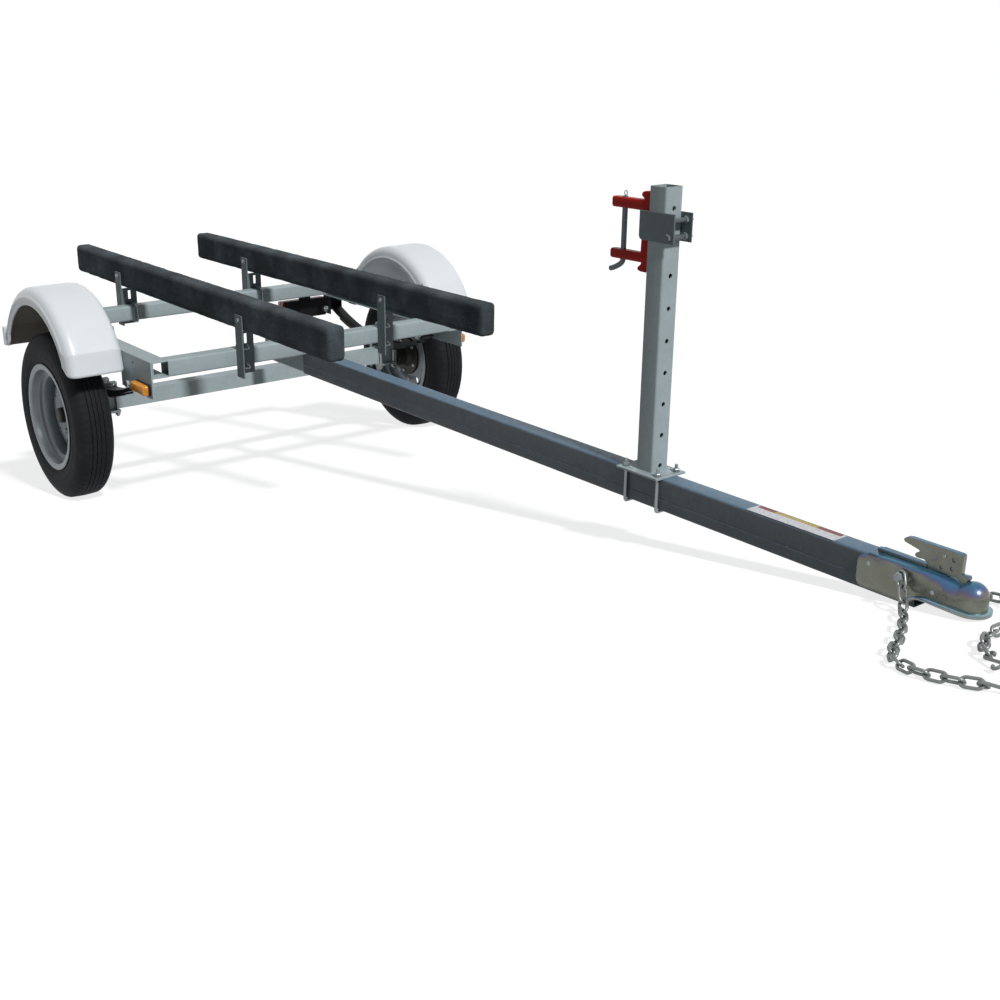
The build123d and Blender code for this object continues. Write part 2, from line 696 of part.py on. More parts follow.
with BuildPart() as clamp_bolts:
    for z in clamp_bolt_z:
        cross_bar(clamp_bolt_y, z, clamp_bolt_radius, (-clamp_x - clamp_head, clamp_x + clamp_bolt_thread))
        cross_hex(clamp_bolt_y, z, clamp_head_radius, (-clamp_x - clamp_head, -clamp_x))
        cross_hex(clamp_bolt_y, z, clamp_head_radius, (clamp_x, clamp_x + clamp_nut))
write(clamp_bolts, "bow_clamp_bolts")

upper_hook = [
    # behind the post, below the yoke's top
    (19.2, 0.0), (34.2, 2.0), (40.2, 7.0), (38.2, 13.0), (30.2, 17.0), (28.2, 26.0)]
lower_hook = [
    # behind the post, above the yoke's bottom
    (33.2, 70.0), (34.2, 40.0), (30.2, 22.0), (32.2, 16.0), (41.2, 11.0), (42.2, 5.0), (36.2, 1.0), (19.2, 0.0)]
yoke_side = [(post_rear, yoke_bottom), (post_rear, yoke_top)]
yoke_side += [(post_rear + behind, yoke_top - below) for behind, below in upper_hook]
yoke_side += [(post_rear + behind, yoke_bottom + above) for behind, above in lower_hook]
yoke_half = yoke_width / 2
with BuildPart() as yoke:
    with BuildSketch(side_plane(-yoke_half)) as plate:
        Polygon(*yoke_side, align=None)
    extrude(plate.sketch, amount=yoke_width)
    for z in yoke_arm_z:
        arm = (z - yoke_arm_height / 2, z + yoke_arm_height / 2)
        block((-yoke_half, yoke_half), (post_rear, yoke_tip_y - yoke_half), arm)
        upright_bar(0, yoke_tip_y - yoke_half, yoke_half, arm)
        upright_bar(0, pin_y, pin_radius + seat_gap, arm, Mode.SUBTRACT)
write(yoke, "bow_yoke")

with BuildPart() as pin:
    upright_bar(0, pin_y, pin_radius, (yoke_bottom, yoke_arm_z[1] + yoke_arm_height / 2 + pin_head))
write(pin, "bow_pin")

# Coupler: a pressed channel over the beam's end, with the ball socket at its nose
socket_radius = ball_radius + ball_clearance
dome_radius = socket_radius + coupler_wall
skin_x = beam_half + coupler_wall
top_z = beam_top + coupler_wall
with BuildPart() as coupler:
    block((-skin_x, skin_x), (neck_rear, coupler_rear), (coupler_bottom, top_z))
    block((-skin_x, skin_x), (ball_y, neck_rear), (nose_bottom, top_z))
    upright_bar(0, ball_y, dome_radius, (nose_bottom, ball_z))
    with BuildSketch(level_plane(nose_bottom)) as lip:
        with Locations((0, ball_y)):
            Circle(dome_radius + lip_width)
        with Locations((0, (ball_y + neck_rear) / 2)):
            Rectangle(2 * (skin_x + lip_width), neck_rear - ball_y)
    extrude(lip.sketch, amount=lip_thickness)
    dome = Sphere(dome_radius, mode=Mode.PRIVATE).moved(Location(parked(0, ball_y, ball_z)))
    add(dome)
    block((-2 * skin_x, 2 * skin_x), (ball_y - 2 * dome_radius, ball_y + 2 * dome_radius),
          (nose_bottom - dome_radius, nose_bottom), Mode.SUBTRACT)
    block((-beam_half, beam_half), (neck_rear, coupler_rear), (coupler_bottom, beam_top), Mode.SUBTRACT)
    block((-beam_half, beam_half), (ball_y + dome_radius, neck_rear), (nose_bottom, beam_top), Mode.SUBTRACT)
    upright_bar(0, ball_y, socket_radius, (nose_bottom, ball_z), Mode.SUBTRACT)
    socket = Sphere(socket_radius, mode=Mode.PRIVATE).moved(Location(parked(0, ball_y, ball_z)))
    add(socket, mode=Mode.SUBTRACT)
    cross_bar(chain_bolt_y, chain_bolt_z, chain_bolt_radius, (-skin_x, skin_x), Mode.SUBTRACT)
write(coupler, "coupler_body")

latch_handle = [
    # behind the handle's rear end, below the latch's top
    (-12.0, 0.0), (0.0, 7.0), (-4.0, 13.0)]
latch_trigger = [
    # behind the handle's rear end, above the coupler
    (-36.0, 30.0), (-28.0, 22.0), (-27.0, 16.0), (-35.0, 14.0), (-49.0, 15.0), (-58.0, 0.0)]
latch_side = [(latch_front, top_z), (latch_front, latch_top - latch_corner), (latch_front + latch_corner, latch_top)]
latch_side += [(latch_rear + behind, latch_top - below) for behind, below in latch_handle]
latch_side += [(latch_rear + behind, top_z + above) for behind, above in latch_trigger]
with BuildPart() as latch:
    with BuildSketch(side_plane(-latch_width / 2)) as lever:
        Polygon(*latch_side, align=None)
    extrude(lever.sketch, amount=latch_width)
    block((latch_wall - latch_width / 2, latch_width / 2 - latch_wall), (latch_front + latch_wall, latch_rear),
          (top_z, latch_top - latch_wall), Mode.SUBTRACT)
write(latch, "coupler_latch")

# Safety chains: flat-sided links on the bolt's ends, leaning out and down to the floor, then along it
with BuildPart() as chain_bolt:
    head_x = chain_x + link_wire
    cross_bar(chain_bolt_y, chain_bolt_z, chain_bolt_radius, (-head_x - chain_head, head_x + chain_head))
    for side in sides.values():
        cross_hex(chain_bolt_y, chain_bolt_z, chain_head_radius, (side * head_x, side * (head_x + chain_head)))
write(chain_bolt, "chain_bolt")

bends = [radians(90 + hook_turn * k / hook_sides) for k in range(hook_sides + 1)]
link_length = link_inside + 2 * link_wire
inner_width = link_width - 2 * link_wire
chain_runs = {
    # links, degrees downwards, degrees each link swings to the right
    "right": [(1, 60, 45), (1, 42, 6), (1, 22, 3), (1, 5, 2), (1, 0, 0), (5, 0, 2), (4, 0, -16), (3, 0, -6)],
    "left": [(1, 60, -45), (1, 41, 7), (1, 20.5, 8), (1, 4, 8), (1, 0, 10), (6, 0, 16), (2, 0, 4), (4, 0, -12)],
}


def bevelled(length, width, corner):
    """An outline with its corners cut off, centred on the local origin."""
    a = length / 2
    b = width / 2
    return [(corner - a, -b), (a - corner, -b), (a, corner - b), (a, b - corner),
            (a - corner, b), (corner - a, b), (-a, b - corner), (-a, corner - b)]


for name, side in sides.items():
    swung = 0
    before = None
    with BuildPart() as chain:
        for links, dip, swing in chain_runs[name]:
            for _ in range(int(links)):
                swung += swing
                level = Vector(-sin(radians(swung)), -cos(radians(swung)), 0)
                heading = level * cos(radians(dip)) - Vector(0, 0, sin(radians(dip)))
                if before is None:
                    start = parked(side * chain_x, chain_bolt_y, chain_bolt_z)
                    middle = start + heading * (link_inside / 2 - chain_bolt_radius - lean_slack)
                    facing = (Vector(1, 0, 0) - heading * heading.X).normalized()
                else:
                    step = link_inside - link_slack - turn_slack * before.get_angle(heading)
                    middle += (before + heading) * (step / 2)
                    facing = heading.cross(facing).normalized()
                before = heading
                with BuildSketch(Plane(origin=middle, x_dir=heading, z_dir=facing)) as ring:
                    Polygon(*bevelled(link_length, link_width, link_bevel), align=None)
                    Rectangle(link_inside, inner_width, mode=Mode.SUBTRACT)
                extrude(ring.sketch, amount=link_wire / 2, both=True)
        eye = middle + heading * (link_inside + link_wire) / 2
        with BuildSketch(Plane(origin=eye, x_dir=heading, z_dir=heading.cross(facing))) as hook:
            with BuildLine():
                Polyline(*[(hook_radius * cos(a), hook_radius * sin(a)) for a in bends[::-1]],
                         *[(hook_shank - hook_radius * cos(a), -hook_radius * sin(a)) for a in bends])
            trace(line_width=hook_wire)
        extrude(hook.sketch, amount=link_wire / 2, both=True)
    write(chain, f"chain_{name}")

# Lamps: amber ones on the front hanger plates and red-lensed ones behind the rear cross member
with BuildPart() as markers:
    for side in sides.values():
        with BuildSketch(side_plane(side * plate_face)) as outline:
            with Locations((lamp_front + lamp_length / 2, lamp_bottom + lamp_height / 2)):
                RectangleRounded(lamp_length, lamp_height, lamp_corner)
        extrude(outline.sketch, amount=side * lamp_depth)
write(markers, "side_markers")

tail_front = frame_rear + wall
tail_rear = tail_front + tail_depth
lens_front = tail_rear - lens_depth
tail_outer_x = tail_inner_x + tail_width
tail_top = tail_bottom + tail_height
end_x = tail_inner_x + lens_end
with BuildPart() as housings:
    for side in sides.values():
        block((side * end_x, side * tail_outer_x), (tail_front, lens_front), (tail_bottom, tail_top))
write(housings, "tail_light_housings")

with BuildPart() as lenses:
    for side in sides.values():
        block((side * tail_inner_x, side * tail_outer_x), (lens_front, tail_rear), (tail_bottom, tail_top))
        block((side * tail_inner_x, side * end_x), (tail_front, tail_rear), (tail_bottom, tail_top))
write(lenses, "tail_light_lenses")

with BuildPart() as brackets:
    for side in sides.values():
        middle = side * (tail_inner_x + tail_outer_x) / 2
        block((middle - tail_strap / 2, middle + tail_strap / 2), (frame_rear, tail_front),
              (tail_bottom + strap_rise, frame_top - strap_drop))
write(brackets, "tail_light_brackets")
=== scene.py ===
"""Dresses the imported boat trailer: tyres, wheels, fenders, carpeted bunks, bow stop, coupler, chains and lamps.

Sizes inside the operators are millimetres of the level trailer: X across with its right-hand side
at -X, -Y towards the hitch, Z up from the floor under the axle. LEVEL turns them into the metres
of the parked trailer, whose nose rests on the floor.
"""
import math

import bmesh
import bpy
from bpy.props import FloatProperty, FloatVectorProperty, IntProperty, PointerProperty
from bpy.types import Operator, Panel, PropertyGroup
from mathutils import Matrix, Vector, noise


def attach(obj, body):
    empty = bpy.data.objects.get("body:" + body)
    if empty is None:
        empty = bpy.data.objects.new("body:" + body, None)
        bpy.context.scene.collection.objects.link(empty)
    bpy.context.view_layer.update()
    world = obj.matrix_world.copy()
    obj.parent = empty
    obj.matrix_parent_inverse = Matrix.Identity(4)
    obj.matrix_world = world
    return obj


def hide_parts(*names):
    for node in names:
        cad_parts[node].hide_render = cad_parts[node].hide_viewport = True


bl_info = {
    "name": "Bunk Boat Trailer",
    "version": (1, 0, 0),
    "blender": (4, 5, 0),
    "location": "3D View > Sidebar > Trailer",
    "description": "Dresses a small single-axle boat trailer with its tyres, fenders, bunks, coupler and finishes",
    "category": "Object",
}

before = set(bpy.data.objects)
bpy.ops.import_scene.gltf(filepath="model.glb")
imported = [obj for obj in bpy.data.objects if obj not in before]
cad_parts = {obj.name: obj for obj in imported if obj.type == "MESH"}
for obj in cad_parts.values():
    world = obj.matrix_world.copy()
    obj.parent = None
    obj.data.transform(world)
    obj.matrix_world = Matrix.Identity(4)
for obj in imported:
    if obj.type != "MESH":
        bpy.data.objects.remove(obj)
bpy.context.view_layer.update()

MM = 0.001
SIDES = {"right": -1, "left": 1}
PARK_ANGLE = math.radians(8.157438)
AXLE = Vector((0, 1.1098, 0.262))
LEVEL = (Matrix.Translation(AXLE) @ Matrix.Rotation(PARK_ANGLE, 4, "X")
         @ Matrix.Translation((0, 0, -AXLE.z)) @ Matrix.Scale(MM, 4))

# Sizes that several pieces share, in millimetres of the level trailer
WHEEL_X = 667.0
STUD_CIRCLE, STUDS = 57.15, 5
TUBE, TUBE_INSIDE = 50.8, 44.8            # square tube of the frame and the post
BEAM_LOW, BEAM_HIGH = 373.6, 449.8
MEMBER_Z, MEMBER_FRONT, MEMBER_REAR = 475.2, -447.0, 359.0
BUNK_FRONT, BUNK_LENGTH, BUNK_WIDTH = -974.0, 1790.0, 57.0
U_BOLT, U_BOLT_OFF = 4.0, 4.3             # radius, and how far its middle stands off the tube
COUPLER_HALF, BALL_Y = 28.6, -2727.0
CHAIN_BOLT_Y, CHAIN_BOLT_Z = -2599.0, 434.0

# The printed strip's blocks of colour, in metres of the parked trailer
STRIP_REAR, STRIP_FRONT, STRIP_BLOCKS = -1.1036, -1.3263, 0.005

# Chromate film's colours from thin to thick: olive, brown, violet, blue, teal, pale teal
# Upward faces are pushed towards the blue and teal end as a painted sky reflection.
ZINC_FILM = ("7b7e74", "74756a", "645f74", "42638c", "3f748c", "5b8090")
# A lighter copy of the film for the coupler's lip: painted highlight.
ZINC_LIP_HIGHLIGHT_FILM = ("7f8682", "7b8a92", "77809f", "6f93ae", "7ea1ae", "93aab0")

# The finishes by their keys, made by make_finishes
FINISHES = {}


def linear(code):
    """An sRGB hex value as linear red, green and blue."""
    parts = [int(code[i:i + 2], 16) / 255 for i in (0, 2, 4)]
    return tuple(v / 12.92 if v <= 0.04045 else ((v + 0.055) / 1.055) ** 2.4 for v in parts)


# Shapes, built in bmesh

def polar(radius, angle, middle=(0, 0)):
    """The point at a radius and an angle in radians round a middle."""
    return middle[0] + radius * math.cos(angle), middle[1] + radius * math.sin(angle)


def arc(middle, radius, start, end, steps):
    """Points on an arc, in degrees."""
    return [polar(radius, math.radians(start + (end - start) * k / steps), middle) for k in range(steps + 1)]


def circle(radius, steps, middle=(0, 0)):
    return [polar(radius, 2 * math.pi * k / steps, middle) for k in range(steps)]


def rounded(width, height, radius, middle=(0, 0), steps=4):
    """The outline of a rectangle with round corners."""
    points = []
    for cx, cy, start in ((1, 1, 0), (-1, 1, 90), (-1, -1, 180), (1, -1, 270)):
        corner = (middle[0] + cx * (width / 2 - radius), middle[1] + cy * (height / 2 - radius))
        points += arc(corner, radius, start, start + 90, steps)
    return points


def mirrored(points):
    """The points, and then their mirror images on the way back."""
    return points + [(-x, z) for x, z in points[::-1]]


def stood(axis, u, v, w):
    """A point from outline coordinates u and v and the place w along an axis."""
    return Vector({"x": (w, u, v), "y": (u, w, v), "z": (u, v, w)}[axis])


def split(axis, middle):
    """The opposite of stood: a point's outline coordinates and its place along the axis."""
    x, y, z = middle
    return {"x": ((y, z), x), "y": ((x, z), y), "z": ((x, y), z)}[axis]


def bridge(shape, rings, closed_rings=True, loop=False, caps=False):
    """Quads between rings of points; rings have the same number of points."""
    made = [[shape.verts.new(p) for p in ring] for ring in rings]
    pairs = list(zip(made, made[1:])) + ([(made[-1], made[0])] if loop else [])
    count = len(made[0])
    for a, b in pairs:
        for k in range(count if closed_rings else count - 1):
            n = (k + 1) % count
            shape.faces.new((a[k], a[n], b[n], b[k]))
    if caps:
        shape.faces.new(made[0][::-1])
        shape.faces.new(made[-1])
    return made


def prism(shape, outline, axis, start, end, inner=None):
    """An outline drawn out along an axis, with open ends where an inner outline makes it a tube."""
    lines = [(outline, start), (outline, end)] + ([(inner, end), (inner, start)] if inner else [])
    bridge(shape, [[stood(axis, u, v, w) for u, v in line] for line, w in lines], loop=bool(inner), caps=not inner)
    return shape


def crowned(shape, axis, width, height, middle, levels):
    """A lens that rises in levels of (place along the axis, how far it is drawn in, corner radius)."""
    rings = [[stood(axis, u, v, place) for u, v in rounded(width - 2 * inset, height - 2 * inset, corner, middle, 6)]
             for place, inset, corner in levels]
    bridge(shape, rings, caps=True)


def turned(shape, profile, side=1, middle=(0, 0, 0), steps=64, loop=False):
    """A profile of (along, radius) turned about the X axis, towards a side."""
    rings = []
    for k in range(steps):
        angle = 2 * math.pi * k / steps
        rings.append([stood("x", *polar(r, angle), side * w) + Vector(middle) for w, r in profile])
    bridge(shape, rings, closed_rings=loop, loop=True)
    bmesh.ops.remove_doubles(shape, verts=shape.verts, dist=1e-4)
    return shape


def wire(shape, points, radius, sides=10, closed=False):
    """A round bar along points, with the section carried from one to the next without twist."""
    points = [Vector(p) for p in points]
    count = len(points)
    tangents = []
    for k in range(count):
        before = points[k - 1] if closed or k else points[k]
        after = points[(k + 1) % count] if closed or k < count - 1 else points[k]
        tangents.append((after - before).normalized())
    side = tangents[0].orthogonal().normalized()
    rings = []
    for k, (p, t) in enumerate(zip(points, tangents)):
        side = (side - t * side.dot(t)).normalized()
        other = t.cross(side)
        r = radius[k] if isinstance(radius, list) else radius
        rings.append([p + (side * u + other * v) * r for u, v in circle(1, sides)])
    bridge(shape, rings, loop=closed, caps=not closed)
    return shape


def nut(shape, axis, middle, radius, height, turn=0.0):
    """A hexagon nut or bolt head with chamfered ends that rises from middle; height may be negative."""
    flat, low = split(axis, middle)
    rings = []
    for share, scale in ((0, 0.88), (0.15, 1), (0.85, 1), (1, 0.88)):
        rings.append([stood(axis, *polar(radius * scale, turn + k * math.pi / 3, flat), low + height * share)
                      for k in range(6)])
    bridge(shape, rings, caps=True)


def threaded(shape, start, end, radius):
    """A bar whose surface rises and falls like a thread."""
    pitch = 1.5
    start, end = Vector(start), Vector(end)
    count = max(2, int((end - start).length / pitch) * 2)
    points = [start.lerp(end, k / count) for k in range(count + 1)]
    wire(shape, points, [radius * (1 if k % 2 else 0.9) for k in range(count + 1)], sides=12)


def washer(shape, axis, middle, radius, height):
    flat, low = split(axis, middle)
    prism(shape, circle(radius, 24, flat), axis, low, low + height)


def spread(count, radius):
    """Places round the wheel's axis, as (angle, y, z)."""
    return [(2 * math.pi * k / count, *point) for k, point in enumerate(circle(radius, count))]


# Objects

def new_object(name, shape, place):
    """An object in the scene from a bmesh in millimetres, which is used up."""
    bmesh.ops.recalc_face_normals(shape, faces=shape.faces)
    mesh = bpy.data.meshes.new(name)
    shape.to_mesh(mesh)
    shape.free()
    mesh.transform(place)
    obj = bpy.data.objects.new(name, mesh)
    bpy.context.scene.collection.objects.link(obj)
    return obj


def modify(obj, name, kind, **settings):
    modifier = obj.modifiers.new(name, kind)
    for key, value in settings.items():
        setattr(modifier, key, value)


def cut_away(obj, holes, place):
    """Takes the holes' shape out of the object and puts its modifiers into its mesh."""
    tool = new_object("cutter", holes, place)
    modify(obj, "holes", "BOOLEAN", operation="DIFFERENCE", solver="EXACT", object=tool)
    bpy.context.view_layer.update()
    graph = bpy.context.evaluated_depsgraph_get()
    mesh = bpy.data.meshes.new_from_object(obj.evaluated_get(graph))
    obj.modifiers.clear()
    old, obj.data, cutter = obj.data, mesh, tool.data
    bpy.data.objects.remove(tool)
    bpy.data.meshes.remove(old)
    bpy.data.meshes.remove(cutter)


def round_edges(obj, width, segments, angle):
    modify(obj, "edges", "BEVEL", width=width * MM, segments=segments, limit_method="ANGLE",
           angle_limit=math.radians(angle), harden_normals=False, use_clamp_overlap=True)


def piece(name, shape, finish, body="chassis", place=LEVEL, hides=None, slot=None, edge=0.0, segments=2,
          angle=35, holes=None, thick=0.0):
    """A named piece from a bmesh in millimetres, riding on a body; it may hide the CAD node that it replaces."""
    obj = new_object(name, shape, place)
    obj.data.materials.append(FINISHES[finish])
    if thick:
        modify(obj, "thickness", "SOLIDIFY", thickness=thick * MM, offset=-1)
    if holes is not None:
        cut_away(obj, holes, place)
    if edge:
        round_edges(obj, edge, segments, angle)
    mesh = obj.data
    mesh.polygons.foreach_set("use_smooth", [True] * len(mesh.polygons))
    mesh.set_sharp_from_angle(angle=math.radians(angle))
    mesh.update()
    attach(obj, body)
    if hides:
        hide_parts(hides)
    return obj


def dress(node, finish, edge):
    """Gives a carried-over CAD node its finish and a small round on its edges."""
    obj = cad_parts[node]
    obj.data.materials.clear()
    obj.data.materials.append(FINISHES[finish])
    modify(obj, "weld", "WELD", merge_threshold=0.00001)
    round_edges(obj, edge, 2, 40)


# Finishes

def add(tree, kind, links=None, stops=(), **settings):
    """A shader node with its settings, its sockets' values or links, and the stops of its ramp.

    A link may be given as a node: then it comes from the node's first output, or a Mix node's colour.
    """
    node = tree.nodes.new("ShaderNode" + kind)
    for name, value in settings.items():
        setattr(node, name, value)
    if stops:
        ramp = node.color_ramp.elements
        while len(ramp) < len(stops):
            ramp.new(0.5)
        for element, (place, colour) in zip(ramp, stops):
            element.position = place
            element.color = (*colour, 1)
    for name, value in (links or {}).items():
        if isinstance(value, bpy.types.Node):
            value = value.outputs[2 if value.bl_idname == "ShaderNodeMix" else 0]
        if isinstance(value, bpy.types.NodeSocket):
            tree.links.new(value, node.inputs[name])
        else:
            node.inputs[name].default_value = value
    return node


def emptied(owner):
    """The node tree of a material or world, without what it starts with."""
    owner.use_nodes = True
    owner.node_tree.nodes.clear()
    return owner.node_tree


def new_finish(name):
    """An empty material, its node tree and the object's own coordinates."""
    material = bpy.data.materials.new(name)
    tree = emptied(material)
    return material, tree, add(tree, "TexCoord").outputs["Object"]


def surfaced(material, sockets):
    """The material with a principled shader of these values and links."""
    shader = add(material.node_tree, "BsdfPrincipled", sockets)
    add(material.node_tree, "OutputMaterial", {"Surface": shader})
    return material


def grey(value):
    return (value, value, value)


def shaded(colour, share):
    return tuple(min(1.0, c * share) for c in colour)


def cells(size_mm):
    """The scale of a pattern whose cells measure so many millimetres."""
    return 1 / (size_mm * MM)


def galvanised(name, colour, metallic, roughness, spangle_mm=9.0, top=None, contrast=0.12):
    """Steel dipped in molten zinc: frosted crystals of slightly different greys, clouded, with dull bumps; upward faces
    lean towards a top colour, which is a painted sky reflection."""
    material, tree, place = new_finish(name)
    crystals = add(tree, "TexVoronoi", {"Vector": place, "Scale": cells(spangle_mm)})
    crystal_grey = add(tree, "SeparateColor", {"Color": crystals.outputs["Color"]})
    clouds = add(tree, "TexNoise", {"Vector": place, "Scale": cells(70), "Detail": 8.0, "Roughness": 0.65})
    runs = add(tree, "TexNoise", {"Vector": place, "Scale": cells(16), "Detail": 4.0})
    spangle = add(tree, "Math", {0: crystal_grey, 1: 0.2}, operation="MULTIPLY")
    tone = add(tree, "Math", {0: clouds, 1: spangle}, operation="ADD")
    shade = add(tree, "ValToRGB", {"Fac": tone}, [(0.4, grey(1 - contrast)), (0.85, grey(1.0))])
    upward = add(tree, "SeparateXYZ", {"Vector": add(tree, "NewGeometry").outputs["Normal"]})
    # Upward faces lean towards the top colour: a painted reflection of the sky, not a colour of the zinc.
    painted_sky_lift = add(tree, "MapRange", {"Value": upward.outputs[2], "From Min": 0.3, "From Max": 0.8})
    base = add(tree, "Mix", {0: painted_sky_lift, 6: (*colour, 1), 7: (*(top or colour), 1)}, data_type="RGBA")
    hue = add(tree, "Mix", {0: 1.0, 6: base, 7: shade}, data_type="RGBA", blend_type="MULTIPLY")
    wear = add(tree, "ValToRGB", {"Fac": runs}, [(0.3, grey(roughness - 0.08)), (0.75, grey(roughness + 0.1))])
    bump = add(tree, "Bump", {"Height": runs, "Strength": 0.1, "Distance": 0.0008})
    return surfaced(material, {"Base Color": hue, "Metallic": metallic, "Roughness": wear,
                               "Specular IOR Level": 0.12, "Normal": bump})


def painted(name, colour, roughness, coat=0.0, grain_mm=2.5, mottle=0.12, metallic=0.0, shine=0.5, glow=0.0):
    """Sprayed paint or moulded plastic: an even colour with faint mottling and an orange-peel surface."""
    material, tree, place = new_finish(name)
    peel = add(tree, "TexNoise", {"Vector": place, "Scale": cells(grain_mm), "Detail": 2.0})
    clouds = add(tree, "TexNoise", {"Vector": place, "Scale": cells(60), "Detail": 5.0})
    hue = add(tree, "ValToRGB", {"Fac": clouds}, [(0.3, shaded(colour, 1 - mottle)), (0.7, shaded(colour, 1 + mottle))])
    wear = add(tree, "ValToRGB", {"Fac": clouds}, [(0.3, grey(roughness - 0.02)), (0.7, grey(roughness + 0.03))])
    bump = add(tree, "Bump", {"Height": peel, "Strength": 0.1, "Distance": 0.0004})
    return surfaced(material, {"Base Color": hue, "Metallic": metallic, "Roughness": wear, "Coat Weight": coat,
                               "Specular IOR Level": shine, "Subsurface Weight": glow,
                               "Subsurface Radius": (0.03, 0.03, 0.034), "Normal": bump})


def yellow_zinc(name, film, metallic):
    """Steel plated with zinc and dipped in chromate: thin-film bands of olive, violet, blue and teal that wander at
    random, with upward faces pushed towards blue and teal as a painted sky reflection."""
    material, tree, place = new_finish(name)
    bands = add(tree, "TexNoise", {"Vector": place, "Scale": cells(38), "Detail": 2.0, "Distortion": 0.6})
    upward = add(tree, "SeparateXYZ", {"Vector": add(tree, "NewGeometry").outputs["Normal"]})
    # Painted sky reflection: upward faces move along the film's colours towards blue and teal.
    painted_sky_lift = add(tree, "Math", {0: upward.outputs[2], 1: 0.42}, operation="MULTIPLY")
    drift = add(tree, "Math", {0: bands, 1: 0.42}, operation="MULTIPLY")
    depth = add(tree, "Math", {0: drift, 1: painted_sky_lift}, operation="ADD")
    hue = add(tree, "ValToRGB", {"Fac": depth}, [(0.16 + 0.11 * k, linear(c)) for k, c in enumerate(film)])
    dull = add(tree, "TexNoise", {"Vector": place, "Scale": cells(7), "Detail": 4.0})
    wear = add(tree, "ValToRGB", {"Fac": dull}, [(0.3, grey(0.24)), (0.8, grey(0.42))])
    bump = add(tree, "Bump", {"Height": dull, "Strength": 0.08, "Distance": 0.0005})
    return surfaced(material, {"Base Color": hue, "Metallic": metallic, "Roughness": wear, "Normal": bump})


def tyre_rubber(name, colour):
    """Vulcanised rubber: near black, matt, with road dust greying the tread and fine moulding grain."""
    material, tree, place = new_finish(name)
    grain = add(tree, "TexNoise", {"Vector": place, "Scale": cells(1.6), "Detail": 3.0})
    clouds = add(tree, "TexNoise", {"Vector": place, "Scale": cells(45), "Detail": 6.0})
    hue = add(tree, "ValToRGB", {"Fac": clouds},
              [(0.35, shaded(colour, 0.75)), (0.6, colour), (0.8, shaded(colour, 1.5))])
    bump = add(tree, "Bump", {"Height": grain, "Strength": 0.25, "Distance": 0.0005})
    return surfaced(material, {"Base Color": hue, "Roughness": 0.72, "Specular IOR Level": 0.12, "Normal": bump})


def carpet(name, colour):
    """Needled polypropylene carpet glued round timber: matt tufts, drawn a little coarse so that they show,
    and flattened patches."""
    material, tree, place = new_finish(name)
    tufts = add(tree, "TexVoronoi", {"Vector": place, "Scale": cells(3.2)})
    fibres = add(tree, "TexNoise", {"Vector": place, "Scale": cells(1.2), "Detail": 4.0})
    patches = add(tree, "TexNoise", {"Vector": place, "Scale": cells(110), "Detail": 5.0})
    mixed = add(tree, "Math", {0: fibres, 1: patches}, operation="MULTIPLY")
    hue = add(tree, "ValToRGB", {"Fac": mixed},
              [(0.14, shaded(colour, 0.45)), (0.26, colour), (0.4, shaded(colour, 2.2))])
    height = add(tree, "Math", {0: tufts, 1: fibres}, operation="SUBTRACT")
    bump = add(tree, "Bump", {"Height": height, "Strength": 0.7, "Distance": 0.002})
    return surfaced(material, {"Base Color": hue, "Roughness": 0.95, "Specular IOR Level": 0.05,
                               "Sheen Weight": 0.1, "Sheen Roughness": 0.6, "Normal": bump})


def lens(name, colour):
    """Acrylic lamp lens: clear coloured plastic with fine moulded ribs, over a dark housing."""
    material, tree, place = new_finish(name)
    ribs = add(tree, "TexWave", {"Vector": place, "Scale": cells(22), "Distortion": 0.0}, bands_direction="Y")
    hue = add(tree, "ValToRGB", {"Fac": ribs}, [(0.0, shaded(colour, 0.7)), (1.0, shaded(colour, 1.15))])
    bump = add(tree, "Bump", {"Height": ribs, "Strength": 0.4, "Distance": 0.0006})
    return surfaced(material, {"Base Color": hue, "Roughness": 0.16, "Coat Weight": 0.15, "Specular IOR Level": 0.3,
                               "Subsurface Weight": 0.25, "Subsurface Radius": (0.01, 0.004, 0.002), "Normal": bump})


def striped_vinyl(name, white, yellow, red):
    """A printed vinyl strip with plain blocks of colour, a little scuffed."""
    material, tree, place = new_finish(name)
    spot = add(tree, "SeparateXYZ", {"Vector": place})
    along = add(tree, "MapRange", {"Value": spot.outputs[1], "From Min": STRIP_REAR, "From Max": STRIP_FRONT})
    far = add(tree, "Math", {0: spot, 1: STRIP_BLOCKS}, operation="GREATER_THAN")
    blocks = add(tree, "ValToRGB", {"Fac": along},
                 [(0.0, white), (0.02, red), (0.22, yellow), (0.71, red), (0.97, white)])
    blocks.color_ramp.interpolation = "CONSTANT"
    scuffs = add(tree, "TexNoise", {"Vector": place, "Scale": cells(6), "Detail": 6.0})
    wear = add(tree, "ValToRGB", {"Fac": scuffs}, [(0.4, grey(1.0)), (0.75, grey(0.7))])
    printed = add(tree, "Mix", {0: far, 6: (*white, 1), 7: blocks}, data_type="RGBA")
    hue = add(tree, "Mix", {0: 1.0, 6: printed, 7: wear}, data_type="RGBA", blend_type="MULTIPLY")
    return surfaced(material, {"Base Color": hue, "Roughness": 0.4})


